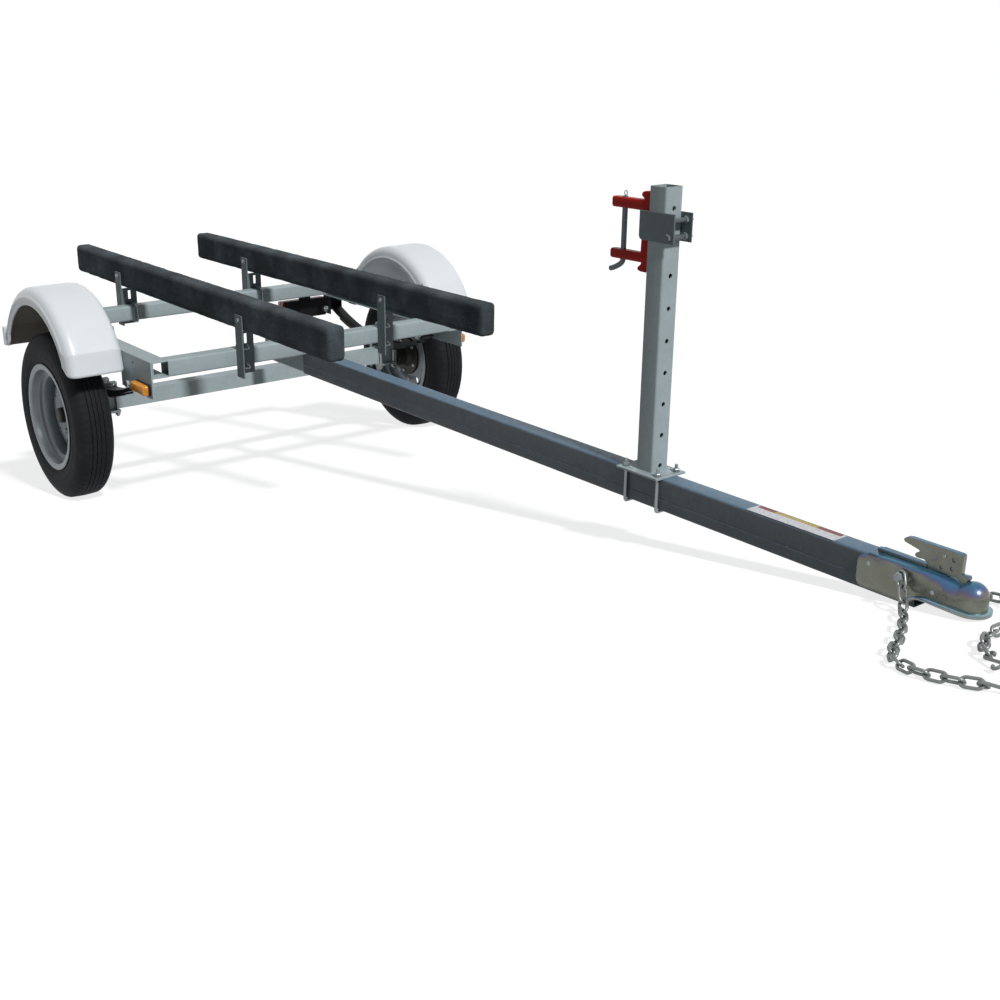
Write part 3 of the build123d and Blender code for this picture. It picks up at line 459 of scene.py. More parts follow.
def make_finishes(colours):
    tint = {name: tuple(getattr(colours, name)) for name in TrailerColours.__annotations__}
    FINISHES.update({
        "steel": galvanised("hot_dip_galvanised_steel", tint["steel"], 0.05, 0.42),
        # The beam's sides carry painted shade in their darker colour, and its top a painted sky reflection.
        "beam": galvanised("weathered_galvanised_beam", tint["beam"], 0.06, 0.4, top=tint["beam_top"], contrast=0.18),
        "bright": galvanised("bright_zinc_fasteners", tint["fasteners"], 0.5, 0.32, 4.0),
        "chain": galvanised("zinc_plated_chain", tint["chain"], 0.55, 0.34, 5.0),
        "black": painted("black_painted_springs", tint["black"], 0.45, shine=0.15),
        "plastic": painted("white_moulded_polyethylene", tint["fender"], 0.3, 0.15, 3.0, 0.01, glow=0.35),
        # The fenders' inner face is given a darker grey-brown: painted shade under the arch.
        "lining": painted("unpolished_fender_inside", tint["fender_inside"], 0.7, 0.0, 3.0, 0.1),
        "rim": painted("silver_sprayed_rim", tint["rim"], 0.4, 0.1, 1.5, 0.08, metallic=0.3),
        "grease": painted("dark_cast_hub", tint["hub"], 0.5, 0.0, 1.5, 0.3, shine=0.25),
        "rubber": tyre_rubber("vulcanised_tyre_rubber", tint["tyre"]),
        "carpet": carpet("needled_bunk_carpet", tint["carpet"]),
        "red": painted("red_sprayed_steel", tint["yoke"], 0.4, 0.0, 2.0, shine=0.12),
        "amber": lens("amber_acrylic", tint["amber"]),
        "tail": lens("red_acrylic", tint["tail"]),
        "housing": painted("black_moulded_housing", tint["black"], 0.5, shine=0.15),
        "zinc": yellow_zinc("yellow_chromate_zinc", ZINC_FILM, 0.6),
        # The lip's lighter film is a painted highlight.
        "zinc_lip_highlight": yellow_zinc("worn_chromate_edge", ZINC_LIP_HIGHLIGHT_FILM, 0.9),
        "strip": striped_vinyl("striped_vinyl", linear("dcdde2"), linear("b8a24a"), linear("7e2b2c")),
        # A darker copy of the steel: painted shade for the brackets, clamp plates and the head on the shaded side.
        "shaded": galvanised("dull_bracket_steel", tint["brackets"], 0.05, 0.5),
        "dark": painted("black_coated_steel", tint["black"], 0.5, shine=0.15),
        "pin": galvanised("dull_zinc_pin", tint["pin"], 0.3, 0.4, 5.0),
    })


def colour(name, description, code):
    return FloatVectorProperty(name=name, description=description, default=linear(code), subtype="COLOR", min=0, max=1)


def length(name, description, default, low, high):
    """A length written here in millimetres; Blender keeps it in metres."""
    return FloatProperty(name=name, description=description, default=default * MM, min=low * MM, max=high * MM,
                         subtype="DISTANCE")


def turn(name, description, default, low, high):
    """An angle written here in degrees; Blender keeps it in radians."""
    return FloatProperty(name=name, description=description, default=math.radians(default), min=math.radians(low),
                         max=math.radians(high), subtype="ANGLE")


class TrailerColours(PropertyGroup):
    steel: colour("Galvanised steel", "Frame, post and base plate", "a9b6b9")
    # Painted shade: the beam's sides and underside are darkened for the shade that falls on them.
    beam: colour("Beam", "Sides of the main beam, an older zinc", "6b7378")
    # Painted sky reflection: the colour that the beam's upward faces lean towards.
    beam_top: colour("Beam top", "Top of the main beam", "6d879b")
    # Painted shade: the brackets and clamp plates are darkened for the shade that they stand in.
    brackets: colour("Brackets", "Bunk brackets and clamp plates, a duller zinc", "757f82")
    pin: colour("Drop pin", "Bow stop's pin and bolt shafts", "666d73")
    fasteners: colour("Fasteners", "Bolts, nuts and U-bolts", "9aa1a3")
    chain: colour("Chains", "Safety chains and hooks", "8b908f")
    black: colour("Black parts", "Springs, lamp housings and lamp brackets", "1a1b1d")
    fender: colour("Fenders", "Outer face of the fenders", "dfe4e8")
    # Painted shade: the inner face of the fenders is darkened for the shade under the arch.
    fender_inside: colour("Fender inside", "Dull inner face of the fenders", "96938a")
    rim: colour("Rims", "Sprayed steel wheels", "848b8f")
    hub: colour("Hubs", "Cast hubs and grease caps", "35342f")
    tyre: colour("Tyres", "Tyre rubber", "222326")
    carpet: colour("Carpet", "Carpet round the bunks", "444c51")
    yoke: colour("Bow yoke", "Red paint of the bow stop", "b01a10")
    amber: colour("Side lamps", "Amber lenses", "f89a0a")
    tail: colour("Tail lamps", "Red lenses", "a81216")


class TrailerSizes(PropertyGroup):
    tread_depth: length("Tread depth", "Depth of the tyre's grooves", 6.0, 1, 12)
    shoulder_cuts: IntProperty(name="Shoulder cuts", description="Cuts round each shoulder of the tyre",
                               default=72, min=20, max=120)
    pile: length("Carpet pile", "How far the carpet's surface rises and falls", 1.6, 0, 4)
    link_wire: length("Chain wire", "Thickness of each link", 6.4, 3, 10)
    bead: length("Fender bead", "How far the fender's bead stands out", 3.4, 0, 8)
    edge: length("Steel edges", "Rounding of plates and bars", 0.9, 0.1, 3)
    camera_lens: FloatProperty(name="Camera lens", description="Focal length", default=46.81, min=20, max=120,
                               subtype="DISTANCE_CAMERA")
    key_power: FloatProperty(name="Key light", description="Strength of the sun", default=2.85, min=0, max=20)
    key_height: turn("Key height", "Height of the sun above the floor", 40.0, 5, 90)
    key_turn: turn("Key turn", "Sun's turn from straight ahead, towards the left-hand side", -3.0, -90, 90)
    world: FloatProperty(name="Surroundings", description="Brightness of the surroundings on the object",
                         default=0.1, min=0, max=2)


# Wheels

def wheel_piece(label, name, side, shape, finish, **options):
    """A piece in the wheel's own millimetres, with the axle as X, on the body of that wheel."""
    place = Matrix.Translation((side * WHEEL_X * MM, AXLE.y, AXLE.z)) @ Matrix.Scale(MM, 4)
    piece(label, shape, finish, f"wheel_{name}", place, **options)


class TRAILER_OT_tyres(Operator):
    """Ribbed trailer tyres with zigzag grooves, shoulder cuts and round sidewalls"""
    bl_idname = "trailer.tyres"
    bl_label = "Tyres"

    def execute(self, context):
        sizes = context.scene.trailer_sizes
        for name, side in SIDES.items():
            self.tread(name, side, sizes.tread_depth / MM, sizes.shoulder_cuts)
            self.sidewall_rings(name, side)
        return {"FINISHED"}

    def tread(self, name, side, depth, cuts):
        """Half a profile, as (across, radius) from the tread's middle out to the bead, is mirrored and turned."""
        half = [(0, 261.8), (5.6, 261.8), (6, 261.8), (7.6, 261.6), (8, 261.5), (19.6, 261.2), (20, 261.1), (21.6, 261),
                (22, 260.8), (34, 260.2), (38, 259.6), (42, 257.5), (46, 254), (50, 249), (53.5, 243.5), (56, 238),
                (58.3, 231), (59.6, 225), (60.3, 219), (60.3, 212), (59.8, 206), (59, 200), (59.6, 197), (59.3, 193),
                (57.6, 186), (56, 180), (54.8, 174), (54, 170), (52.5, 166), (51.5, 160), (51.3, 153)]
        grooves, last_rib, last_cut = {2, 3, 6, 7}, 8, 12
        zigzag = (0.8, 0, -0.8, 0)
        numbered = list(enumerate(half))
        profile = [(-x, r, k) for k, (x, r) in numbered[:0:-1]] + [(x, r, k) for k, (x, r) in numbered]
        steps = cuts * len(zigzag)
        rings = []
        for step in range(steps):
            angle = 2 * math.pi * step / steps
            ring = []
            for x, r, k in profile:
                if 1 <= k <= last_rib:
                    x += zigzag[step % 4]
                if k in grooves:
                    r -= depth
                if last_rib < k <= last_cut and step % 4 == 0:
                    r -= depth * 0.3
                ring.append(Vector((x, r * math.sin(angle), r * math.cos(angle))))
            rings.append(ring)
        shape = bmesh.new()
        bridge(shape, rings, closed_rings=False, loop=True)
        wheel_piece(f"tyre_{name}_tread", name, side, shape, "rubber", hides=f"tyre_{name}", angle=28)

    def sidewall_rings(self, name, side):
        shape = bmesh.new()
        for radius, inside, outside in ((206, 57.5, 60.0), (188, 55.5, 57.9)):
            profile = [(outside, radius - 1.6), (outside, radius + 1.6), (inside, radius + 1.6), (inside, radius - 1.6)]
            for face in (-1, 1):
                turned(shape, profile, face, steps=96, loop=True)
        wheel_piece(f"tyre_{name}_sidewall_rings", name, side, shape, "rubber")


class TRAILER_OT_rims(Operator):
    """Pressed steel rims with a deep well, a dished disc, oval vents and a rolled flange"""
    bl_idname = "trailer.rims"
    bl_label = "Rims"

    def execute(self, context):
        for name, side in SIDES.items():
            self.barrel(name, side)
            self.disc(name, side)
        return {"FINISHED"}

    def barrel(self, name, side):
        outer = [(-58, 166), (-57.5, 168), (-55.5, 168.2), (-54.2, 166.5), (-54, 158), (-52.5, 153.5), (-49, 152.4),
                 (-31, 151.6), (-28, 149.5), (-24, 130), (-21, 128)]
        inner = [(57.2, 157), (55.5, 151), (51, 148.9), (33, 148.2), (30.5, 146.5), (27, 126.8), (24, 124.6)]
        shape = turned(bmesh.new(), mirrored(outer) + mirrored(inner), steps=128, loop=True)
        wheel_piece(f"rim_{name}_barrel", name, side, shape, "rim", hides=f"rim_{name}", angle=40)

    def disc(self, name, side):
        """The dished disc: out at the vents, in at the bolt circle, set inboard of the middle."""
        base, sheet, vents, vent_circle, vent_length, vent_width = -14.0, 3.6, 10, 98, 11, 8
        face = [(base + 2, 33), (base + 2.2, 44), (base + 2.6, 72), (base + 6, 80), (base + 11, 88), (base + 12.5, 98),
                (base + 11, 108), (base + 5, 117), (base - 4, 122), (base - 14, 124.2)]
        back = [(w - sheet, r - (0.5 if r > 116 else 0)) for w, r in face[::-1]]
        shape = turned(bmesh.new(), face + back, side, steps=160, loop=True)
        cuts = bmesh.new()
        for angle, y, z in spread(vents, vent_circle):
            c, s = math.cos(angle), math.sin(angle)
            oval = [(y + vent_length * u * c - vent_width * v * s, z + vent_length * u * s + vent_width * v * c)
                    for u, v in circle(1, 20)]
            prism(cuts, oval, "x", -40, 40)
        for _, y, z in spread(STUDS, STUD_CIRCLE):
            prism(cuts, circle(6.4, 16, (y, z)), "x", -40, 40)
        wheel_piece(f"rim_{name}_disc", name, side, shape, "rim", holes=cuts, angle=30)


class TRAILER_OT_hubs(Operator):
    """Hubs with a drawn grease cap, lug studs, cone nuts and a flange behind the disc"""
    bl_idname = "trailer.hubs"
    bl_label = "Hubs"

    def execute(self, context):
        for name, side in SIDES.items():
            self.casting(name, side)
            self.nuts(name, side)
        return {"FINISHED"}

    def casting(self, name, side):
        profile = [(-79, 15.2), (-79, 30), (-77.5, 31), (-40, 31), (-32, 36), (-26, 40), (-25, 68), (-23.5, 69.8),
                   (-17, 69.8), (-16.2, 69), (-16.2, 33), (-2, 32), (-2, 25), (6, 24.5), (22, 23.5), (26.5, 20),
                   (28, 14), (28, 0.01)]
        wheel_piece(f"hub_{name}_casting", name, side, turned(bmesh.new(), profile, side), "grease",
                    hides=f"hub_{name}", angle=30)

    def nuts(self, name, side):
        cone = [(-12, 5.8), (-12, 8), (-8.5, 10.4), (-8, 0.01)]
        crown = [(4, 7.4), (7, 6.2), (8, 0.01)]
        shape = bmesh.new()
        for angle, y, z in spread(STUDS, STUD_CIRCLE):
            turned(shape, cone, side, (0, y, z), 20)
            nut(shape, "x", (side * -9, y, z), 11, side * 13, angle)
            turned(shape, crown, side, (0, y, z), 16)
            threaded(shape, (side * -12, y, z), (side * -30, y, z), 5.9)
        wheel_piece(f"hub_{name}_nuts", name, side, shape, "bright")


class TRAILER_OT_fenders(Operator):
    """Moulded fenders: an arched crown with round shoulders, a bead along each side and plain feet"""
    bl_idname = "trailer.fenders"
    bl_label = "Fenders"

    inside, width, sheet = 566.4, 181.6, 3.4

    def execute(self, context):
        bead = context.scene.trailer_sizes.bead / MM
        for name, side in SIDES.items():
            self.shell(name, side, bead)
            foot = prism(bmesh.new(), rounded(17, 62, 5, (273, 476)), "x", side * 730, side * 747.5)
            piece(f"fender_{name}_foot_tab", foot, "plastic", edge=2.5, segments=3)
            bolts = bmesh.new()
            for y, z in ((-236, 486), (-205, 560), (205, 560), (238, 486)):
                turned(bolts, [(570.6, 9), (572.5, 9), (575, 6), (576, 0.01)], side, (0, y, z), 20)
            piece(f"fender_{name}_bolts", bolts, "bright")
        return {"FINISHED"}

    def section(self):
        """Across the fender from the frame's side to the outside: (across, depth below the crown, bead share)."""
        width, curve, wall = self.width, 31, self.width - 3.6
        points = [(0.6, deep, raised) for deep, raised in
                  ((115, 0), (95, 0), (80, 0), (66, 0), (54, 0), (46, 0), (43, 0.6), (40.5, 1), (38, 1), (35.5, 0.6))]
        points += [(0.8, 32.5, 0), (1.2, 31, 0)]
        points += [(curve - 29.8 * math.cos(a), curve - curve * math.sin(a), 0)
                   for a in (math.radians(step) for step in (18, 36, 54, 72, 90))]
        points += [(curve + (width - 2 * curve) * k / 8, 0, 0) for k in range(1, 8)]
        points += [(width - curve + 27.5 * math.sin(a), curve - curve * math.cos(a), 0)
                   for a in (math.radians(step) for step in (0, 18, 36, 54, 72))]
        points += [(wall, 24.5, 0), (wall, 26.5, 0.55), (wall, 28.8, 1), (wall, 31.4, 1), (wall, 34, 0.55),
                   (wall + 0.2, 36, 0.1), (wall + 0.6, 42, 0), (wall + 1.0, 48, 0), (wall + 1.2, 53, 0)]
        return points

    def shell(self, name, side, bead):
        """Arched over the wheel between its creases, with a foot that leans out below each of them."""
        radius, centre, crease, lean = 300.0, 370.0, 61.1, math.radians(12)
        foot_low, foot_rise, foot_step = 444.0, 26, 1.4
        section = self.section()
        shares = [1.0, 0.9, 0.8, 0.7, 0.6, 0.5, 0.4, 0.3, 0.2, 0.1, 0.02]
        stations = [(-crease, share) for share in shares]
        stations += [(-crease + 2 * crease * k / 64, 0) for k in range(65)]
        stations += [(crease, share) for share in shares[::-1]]
        rings = []
        for angle, share in stations:
            a = math.radians(angle)
            fade = min(1.0, (crease - abs(angle)) / 3.0)
            ring = []
            for across, deep, raised in section:
                outboard = across > self.width / 2
                stand = raised * bead * fade * (1 if outboard else -0.75)
                y = math.sin(a) * (radius - deep)
                z = centre + math.cos(a) * (radius - deep)
                if share:
                    low = foot_low
                    if outboard and deep > 10:
                        low += foot_rise * (1 - math.cos(math.radians(min(90, (deep - 10) * 2.1))))
                    down = (z - low) / math.cos(lean) * share
                    y += math.copysign(math.sin(lean) * down + foot_step, angle)
                    z -= math.cos(lean) * down
                ring.append(Vector((side * (self.inside + min(self.width - 0.1, across + stand)), y, z)))
            rings.append(ring)
        shape = bmesh.new()
        bridge(shape, rings, closed_rings=False)
        shell = piece(f"fender_{name}_shell", shape, "plastic", hides=f"fender_{name}", thick=self.sheet, angle=50)
        # The inner face takes the darker grey-brown, which is painted shade.
        shell.data.materials.append(FINISHES["lining"])
        shell.modifiers["thickness"].material_offset = 1
        shell.modifiers["thickness"].material_offset_rim = 0


class TRAILER_OT_frame(Operator):
    """Beam, telescoped tube, cross members and rails, with the round corners of rolled steel tube"""
    bl_idname = "trailer.frame"
    bl_label = "Frame"

    def execute(self, context):
        self.beam()
        for name, y in (("front", MEMBER_FRONT), ("rear", MEMBER_REAR)):
            middle = (y + TUBE / 2, MEMBER_Z)
            shape = prism(bmesh.new(), rounded(TUBE, TUBE, 5.5, middle), "x", -510.8, 510.8,
                          rounded(TUBE_INSIDE, TUBE_INSIDE, 3, middle))
            piece(f"{name}_member_tube", shape, "steel", hides=f"{name}_cross_member", edge=0.5, angle=40)
        edge = context.scene.trailer_sizes.edge / MM
        dressed = [("side_rail_right", "steel", 1.2), ("side_rail_left", "steel", 1.2),
                   ("hanger_plates", "steel", edge), ("tail_light_brackets", "dark", edge),
                   ("spring_hangers", "black", edge), ("leaf_spring_right", "black", edge),
                   ("leaf_spring_left", "black", edge), ("axle", "steel", 1.5), ("axle_clamps", "bright", 0.6),
                   ("spring_bolts", "bright", 0.6), ("post_base_plate", "steel", edge)]
        # The bunk brackets take the darker steel, which is painted shade.
        dressed += [(f"bunk_bracket_{end}_{name}", "shaded", edge) for end in ("front", "rear") for name in SIDES]
        for node, finish, rounding in dressed:
            dress(node, finish, rounding)
        return {"FINISHED"}

    def beam(self):
        """The beam is closed by a lapped seam, low on each side, and a smaller tube stands out of its rear end."""
        half, low, high, corner, wall = TUBE / 2, BEAM_LOW, BEAM_HIGH, 6.0, 3
        right = [(half - corner, low)] + arc((half - corner, low + corner), corner, -90, 0, 5)[1:]
        right += [(half - inset, low + up) for inset, up in
                  ((0, 25.4), (0, 26.4), (1.3, 27.4), (1.3, 29.2), (0.2, 30.4), (0.2, 34))]
        right += arc((half - corner, high - corner), corner, 0, 90, 5)
        outline = mirrored(right)
        inner = [(x * (half - wall) / half, low + wall + (z - low) * (high - low - 2 * wall) / (high - low))
                 for x, z in outline]
        piece("beam_tube", prism(bmesh.new(), outline, "y", -2625, -390, inner), "beam", hides="main_beam",
              edge=0.5, angle=40)
        middle = (0, 411.4)
        tail = prism(bmesh.new(), rounded(44, 69.6, 5, middle), "y", -700, -140, rounded(38, 63.6, 3, middle))
        piece("beam_tail_tube", tail, "steel", hides="beam_rear_tube", edge=0.5, angle=40)
        strip = prism(bmesh.new(), rounded(42, 225, 1.5, (-3, -2321.5)), "z", BEAM_HIGH, BEAM_HIGH + 0.3)
        piece("beam_vinyl_strip", strip, "strip")


# Bunks

def bunk_middle(side, y):
    """How far a bunk's middle line stands from the beam's: the bunks close in a little towards the rear."""
    return side * (259 - 14 * (y - BUNK_FRONT) / BUNK_LENGTH)


class TRAILER_OT_bunks(Operator):
    """Timbers on edge wrapped in carpet: soft corners, folded ends, dents and a rough pile"""
    bl_idname = "trailer.bunks"
    bl_label = "Bunks"

    def execute(self, context):
        for name, side in SIDES.items():
            self.bunk(name, side, context.scene.trailer_sizes.pile / MM)
        return {"FINISHED"}

    def bunk(self, name, side, pile):
        """Fine grain and slow folds of noise draw the surface in from the carpet's outside."""
        height, corner, low, stations, end_round = 99.0, 13.0, 560, 340, 9
        corners = rounded(BUNK_WIDTH, height, corner, steps=3)
        outline = []
        for (u, v), (next_u, next_v) in zip(corners, corners[1:] + corners[:1]):
            count = max(1, round(math.hypot(next_u - u, next_v - v) / 5.0))
            outline += [(u + (next_u - u) * k / count, v + (next_v - v) * k / count) for k in range(count)]
        rings = []
        for k in range(stations + 1):
            y = BUNK_LENGTH * k / stations
            from_end = min(end_round, y, BUNK_LENGTH - y)
            pinch = math.sqrt(1 - ((end_round - from_end) / end_round) ** 2) * 0.2 + 0.8
            middle = bunk_middle(side, BUNK_FRONT + y)
            ring = []
            for u, v in outline:
                grain = noise.noise(Vector((u * 0.16 + side * 40, y * 0.13, v * 0.16)))
                fold = noise.noise(Vector((u * 0.02 + side * 9, y * 0.021, v * 0.012 + 4)))
                dent = (pile * (0.55 + 0.45 * grain) + 1.4 * max(0.0, fold)) / 32
                ring.append(Vector((middle + u * pinch * (1 - dent), BUNK_FRONT + y,
                                    low + height / 2 + v * pinch * (1 - dent * 0.6))))
            rings.append(ring)
        shape = bmesh.new()
        made = bridge(shape, rings)
        for ring, out in ((made[0], -1), (made[-1], 1)):
            self.folded_end(shape, ring, out)
        piece(f"bunk_{name}_carpet", shape, "carpet", hides=f"bunk_{name}", angle=60)

    def folded_end(self, shape, ring, out):
        """Closes an end with shrinking rings that stand a little in or out of it."""
        centre = sum((v.co for v in ring), Vector()) / len(ring)
        before = ring
        for scale in (0.8, 0.5, 0.2):
            now = []
            for v in ring:
                p = centre + (v.co - centre) * scale
                p.y += noise.noise(p * 0.11) * 0.8 - 0.8 * out
                now.append(shape.verts.new(p))
            for j in range(len(ring)):
                n = (j + 1) % len(ring)
                shape.faces.new((before[j], before[n], now[n], now[j]))
            before = now
        shape.faces.new(before)


class TRAILER_OT_bunk_bolts(Operator):
    """U-bolts round the cross members, with washers, nuts and threaded ends, and the bunks' lag screws"""
    bl_idname = "trailer.bunk_bolts"
    bl_label = "Bunk bolts"

    def execute(self, context):
        leg, bend = TUBE / 2 + U_BOLT_OFF, 2 * U_BOLT
        bracket_depth, clearance, bolt_inset, bent_end = 42, 0.3, 26.75, 18
        bolts, lags = bmesh.new(), bmesh.new()
        for face, out, lag in ((MEMBER_FRONT, -1, 593), (MEMBER_REAR + TUBE, 1, 598)):
            far = face - out * (TUBE + U_BOLT_OFF)
            for side in SIDES.values():
                nearest = min(bunk_middle(side, face + out * bracket_depth), bunk_middle(side, face))
                edge = nearest - BUNK_WIDTH / 2 - clearance
                x = edge + bolt_inset
                path = [(x, face + out * bent_end, MEMBER_Z - leg)]
                for z, start in ((MEMBER_Z - leg + bend, 270), (MEMBER_Z + leg - bend, 360)):
                    path += [(x, far + out * (bend - u), z + v) for u, v in arc((0, 0), bend, start, start + 90, 5)]
                path += [(x, face + out * bent_end, MEMBER_Z + leg)]
                wire(bolts, path, U_BOLT, sides=12)
                for z in (MEMBER_Z - leg, MEMBER_Z + leg):
                    washer(bolts, "y", (x, face + out * 4.5, z), 9, out * 1.6)
                    nut(bolts, "y", (x, face + out * 6.1, z), 7.6, out * 6.6, 0.3)
                    threaded(bolts, (x, face + out * 12, z), (x, face + out * 22, z), U_BOLT)
                head = (edge - 4.5, face + out * 21, lag)
                nut(lags, "x", head, 6.2, -5.0, 0.2)
                washer(lags, "x", head, 8.5, -1.2)
        piece("bunk_u_bolt_set", bolts, "bright", hides="bunk_u_bolts")
        piece("bunk_lag_heads", lags, "bright")
        return {"FINISHED"}


# Bow post and bow stop

class TRAILER_OT_post(Operator):
    """The bow post: square tube with round corners and a row of holes, and its U-bolts round the beam"""
    bl_idname = "trailer.post"
    bl_label = "Bow post"

    def execute(self, context):
        foot, top, middle = BEAM_HIGH + 5, 1090.5, (0, -1906.6)
        first_hole, hole_pitch, holes = 469, 72, 9
        shape = prism(bmesh.new(), rounded(TUBE, TUBE, 5, middle, 5), "z", foot, top,
                      rounded(TUBE_INSIDE, TUBE_INSIDE, 2.5, middle, 5))
        cuts = bmesh.new()
        for k in range(holes):
            prism(cuts, circle(5.5, 24, (0, first_hole + hole_pitch * k)), "y", -1960, -1860)
        piece("bow_post_tube", shape, "steel", hides="bow_post", holes=cuts, angle=40)
        bolts = bmesh.new()
        x, low, bend, leg_top = TUBE / 2 + U_BOLT_OFF, BEAM_LOW - U_BOLT_OFF, 6, 472
        for y in (-1955.0, -1855.0):
            path = [(-x, y, leg_top)] + [(u, y, z) for u, z in arc((-x + bend, low + bend), bend, 180, 270, 5)]
            path += [(u, y, z) for u, z in arc((x - bend, low + bend), bend, 270, 360, 5)] + [(x, y, leg_top)]
            wire(bolts, path, U_BOLT, sides=12)
            for leg in (-x, x):
                washer(bolts, "z", (leg, y, foot), 8.6, 1.5)
                nut(bolts, "z", (leg, y, foot + 1.5), 7.8, 6.6, 0.4 + y)
                threaded(bolts, (leg, y, 460), (leg, y, leg_top + 0.8), U_BOLT)
        piece("post_u_bolt_set", bolts, "bright", hides="post_u_bolts")
        return {"FINISHED"}


class TRAILER_OT_bow_stop(Operator):
    """The bow stop: two clamp plates with bolts, the red hooked yoke and its drop pin with a hairpin"""
    bl_idname = "trailer.bow_stop"
    bl_label = "Bow stop"

    bolt_y, pin_y = -1946, -1784

    def execute(self, context):
        self.clamp()
        self.yoke()
        self.pin()
        return {"FINISHED"}

    def clamp(self):
        inside, outside = TUBE / 2 + 0.1, 28.4
        plates = bmesh.new()
        outline = [(-1962, 974), (-1868, 974)] + arc((-1868, 984), 10, -90, 0, 5)[1:] + [(-1858, 1037), (-1962, 1037)]
        for side in SIDES.values():
            prism(plates, outline, "x", side * inside, side * outside)
        # The clamp plates take the darker steel, which is painted shade.
        piece("bow_clamp_plate_pair", plates, "shaded", hides="bow_clamp_plates", edge=0.7)
        bolts, shafts, head = bmesh.new(), bmesh.new(), bmesh.new()
        y, low, high = self.bolt_y, 986, 1021
        for z in (low, high):
            wire(shafts, [(-28, y, z), (40, y, z)], 5.6, sides=16)
            nut(bolts, "x", (inside, y, z), 8.6, -5, 0.35)
            washer(bolts, "x", (outside, y, z), 10.5, 1.8)
            nut(bolts, "x", (outside + 1.8, y, z), 9, 7.4, 0.1)
            threaded(bolts, (36, y, z), (42.3, y, z), 5.0)
        nut(head, "x", (-outside, y, low), 9, -6, 0.35)
        piece("bow_clamp_bolt_set", bolts, "bright", hides="bow_clamp_bolts")
        piece("bow_clamp_bolt_shafts", shafts, "pin")
        # The head on the shaded plate takes the painted shade steel.
        piece("bow_clamp_bolt_head", head, "shaded")

    def yoke(self):
        """A plate with a hook at each end, and two arms with round tips and softened edges."""
        plate = [(-1881, 900), (-1881, 1076), (-1862, 1076), (-1852, 1075), (-1845.5, 1072.5), (-1843, 1068),
                 (-1844.5, 1063.5), (-1850, 1060.5), (-1852, 1056), (-1852.5, 1050), (-1850, 1020), (-1848, 970),
                 (-1847, 940), (-1849, 930), (-1850.5, 923), (-1849.5, 917), (-1845.5, 913.5), (-1840.5, 910),
                 (-1839, 905.5), (-1842, 902), (-1851, 900)]
        root, tip_y, half_width = -1879, -1758, 11
        arms = bmesh.new()
        for z, half in ((1044.5, 11.5), (930.5, 10.5)):
            levels = ((-half, 5), (1.5 - half, 1.5), (5 - half, 0), (half - 5, 0), (half - 1.5, 1.5), (half, 5))
            rings = []
            for level, inset in levels:
                width = half_width - inset * 0.6
                tip = [(x * width, tip_y + y * (half_width - inset)) for x, y in arc((0, 0), 1, 180, 0, 14)]
                rings.append([(x, y, z + level) for x, y in [(-width, root)] + tip + [(width, root)]])
            bridge(arms, rings, caps=True)
        holes = prism(bmesh.new(), circle(6.6, 24, (0, self.pin_y)), "z", 880, 1080)
        piece("bow_yoke_plate", prism(bmesh.new(), plate, "x", -10.7, 10.7), "red", hides="bow_yoke", edge=2.5,
              segments=4)
        piece("bow_yoke_arms", arms, "red", holes=holes, angle=50)

    def pin(self):
        y = self.pin_y
        path = [(0, y, 1058), (0, y, 919), (0, -1783, 914), (0, -1780, 910), (0, -1774, 905.5), (0, -1764, 900),
                (0, -1752, 895), (0, -1745, 893)]
        shape = wire(bmesh.new(), path, 6.2, sides=16)
        piece("bow_drop_pin", shape, "pin", hides="bow_pin", slot="dark_grease_steel", edge=1.0)
        loop = [(-9, y, 1058), (3, y, 1058), (4.2, y, 1060), (4.6, y, 1063.5)]
        loop += [(u, y, z) for u, z in (polar(4.2, angle, (0, 1065.5)) for angle in (0.4, 1.0, 1.57, 2.1, 2.7))]
        loop += [(-4.4, y - 1, 1063), (-3, y - 3, 1060), (0, y - 4.5, 1058)]
        piece("bow_hairpin", wire(bmesh.new(), loop, 1.4, sides=8), "bright")


# Hitch

